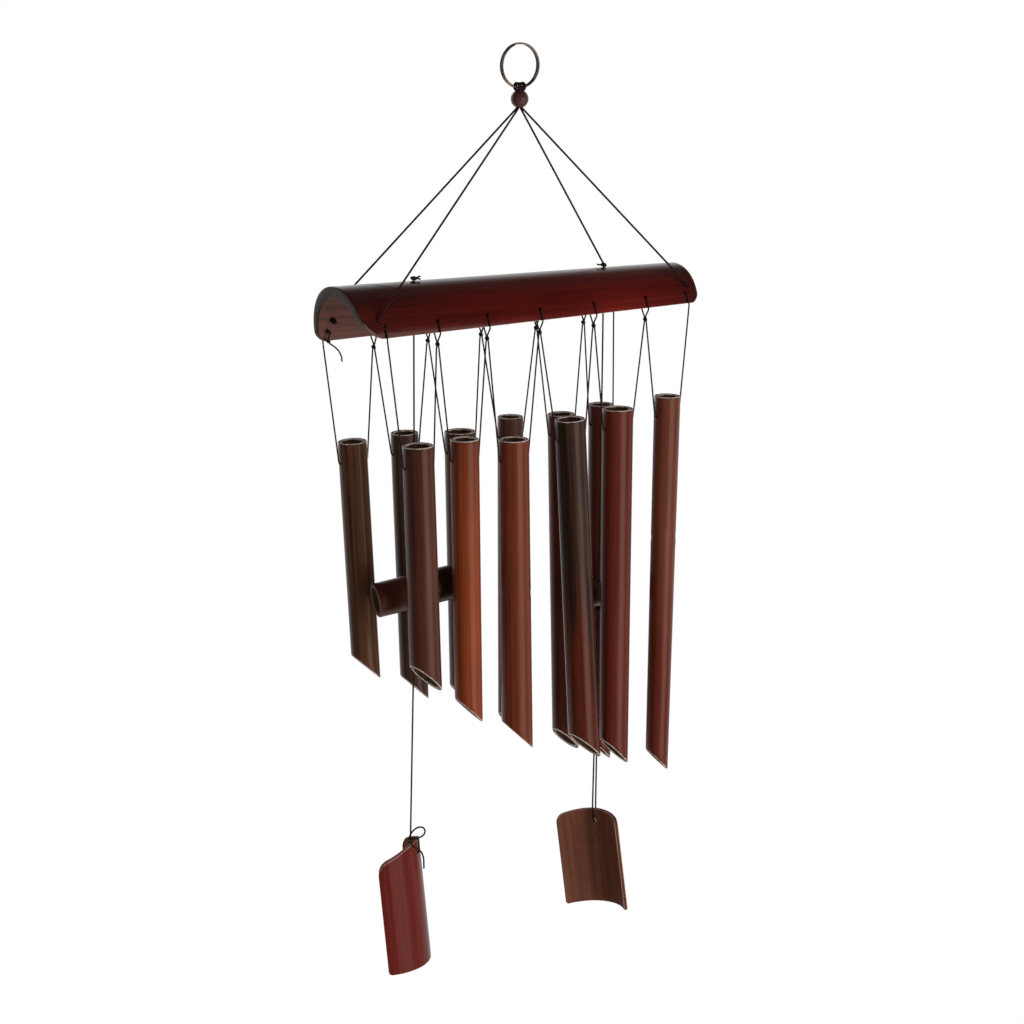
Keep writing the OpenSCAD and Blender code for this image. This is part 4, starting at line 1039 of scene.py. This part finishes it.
# diffuse light in front of and behind the object, and what gloss sees of the ceiling and the room on the camera's side
DOME, BACKDROP, CEILING, ROOM = 0.22, 0.75, 0.15, 0.12
world = bpy.data.worlds.new("studio")
scene.world = world
world.use_nodes = True
nodes, links = world.node_tree.nodes, world.node_tree.links
nodes.clear()


def joined(kind, op, *inputs):
    """A node of the world with its inputs set or linked; gives its first output."""
    n = nodes.new(kind)
    if op:
        n.operation = op
    for i, value in enumerate(inputs):
        if isinstance(value, bpy.types.NodeSocket):
            links.new(value, n.inputs[i])
        else:
            n.inputs[i].default_value = value
    return n.outputs[0]


def ranged(value, low, high, to_low, to_high):
    return joined("ShaderNodeMapRange", None, value, low, high, to_low, to_high)


# white behind the object for the camera, for gloss and for glass; a dark ceiling and a dim room on the camera's side
path = nodes.new("ShaderNodeLightPath").outputs
seen = joined("ShaderNodeMath", "MAXIMUM", path["Is Glossy Ray"], path["Is Transmission Ray"])
way = nodes.new("ShaderNodeTexCoord").outputs["Generated"]
height = nodes.new("ShaderNodeSeparateXYZ")
links.new(way, height.inputs[0])
facing = nodes.new("ShaderNodeVectorMath")
facing.operation = "DOT_PRODUCT"
links.new(way, facing.inputs[0])
facing.inputs[1].default_value = tuple(AHEAD)
ahead = facing.outputs["Value"]
wall = ranged(height.outputs[2], 0.36, 0.62, 1.0, CEILING)
backdrop = joined("ShaderNodeMath", "MULTIPLY", wall, ranged(ahead, -0.2, 0.3, ROOM, 1.0))
white = joined("ShaderNodeMath", "MAXIMUM", path["Is Camera Ray"], joined("ShaderNodeMath", "MULTIPLY", seen, backdrop))
dome = joined("ShaderNodeMath", "MULTIPLY", wall, ranged(ahead, 0.3, 0.8, DOME, BACKDROP))
shown = joined("ShaderNodeMath", "MAXIMUM", path["Is Camera Ray"], seen)
level = ranged(shown, 0.0, 1.0, dome, white)
back, out = nodes.new("ShaderNodeBackground"), nodes.new("ShaderNodeOutputWorld")
back.inputs[0].default_value = (1, 1, 1, 1)
links.new(level, back.inputs[1])
links.new(back.outputs[0], out.inputs[0])


def softbox(name, place, aim, size, power):
    data = bpy.data.lights.new(name, "AREA")
    data.shape, data.size, data.size_y, data.energy = "RECTANGLE", size[0], size[1], power
    obj = bpy.data.objects.new(name, data)
    scene.collection.objects.link(obj)
    obj.location = place
    obj.rotation_euler = (Vector(aim) - Vector(place)).to_track_quat("-Z", "Y").to_euler()


softbox("key", (0.31, -1.25, -0.45), (0, 0, -0.4), (0.9, 1.5), 18)
softbox("fill", (-1.5, -0.9, 0.1), (0, 0, -0.3), (1.0, 1.4), 2.6)
softbox("back", (-0.2, 1.6, 0.1), (0, 0, -0.35), (1.2, 1.4), 9)

scene.view_settings.view_transform = "Standard"
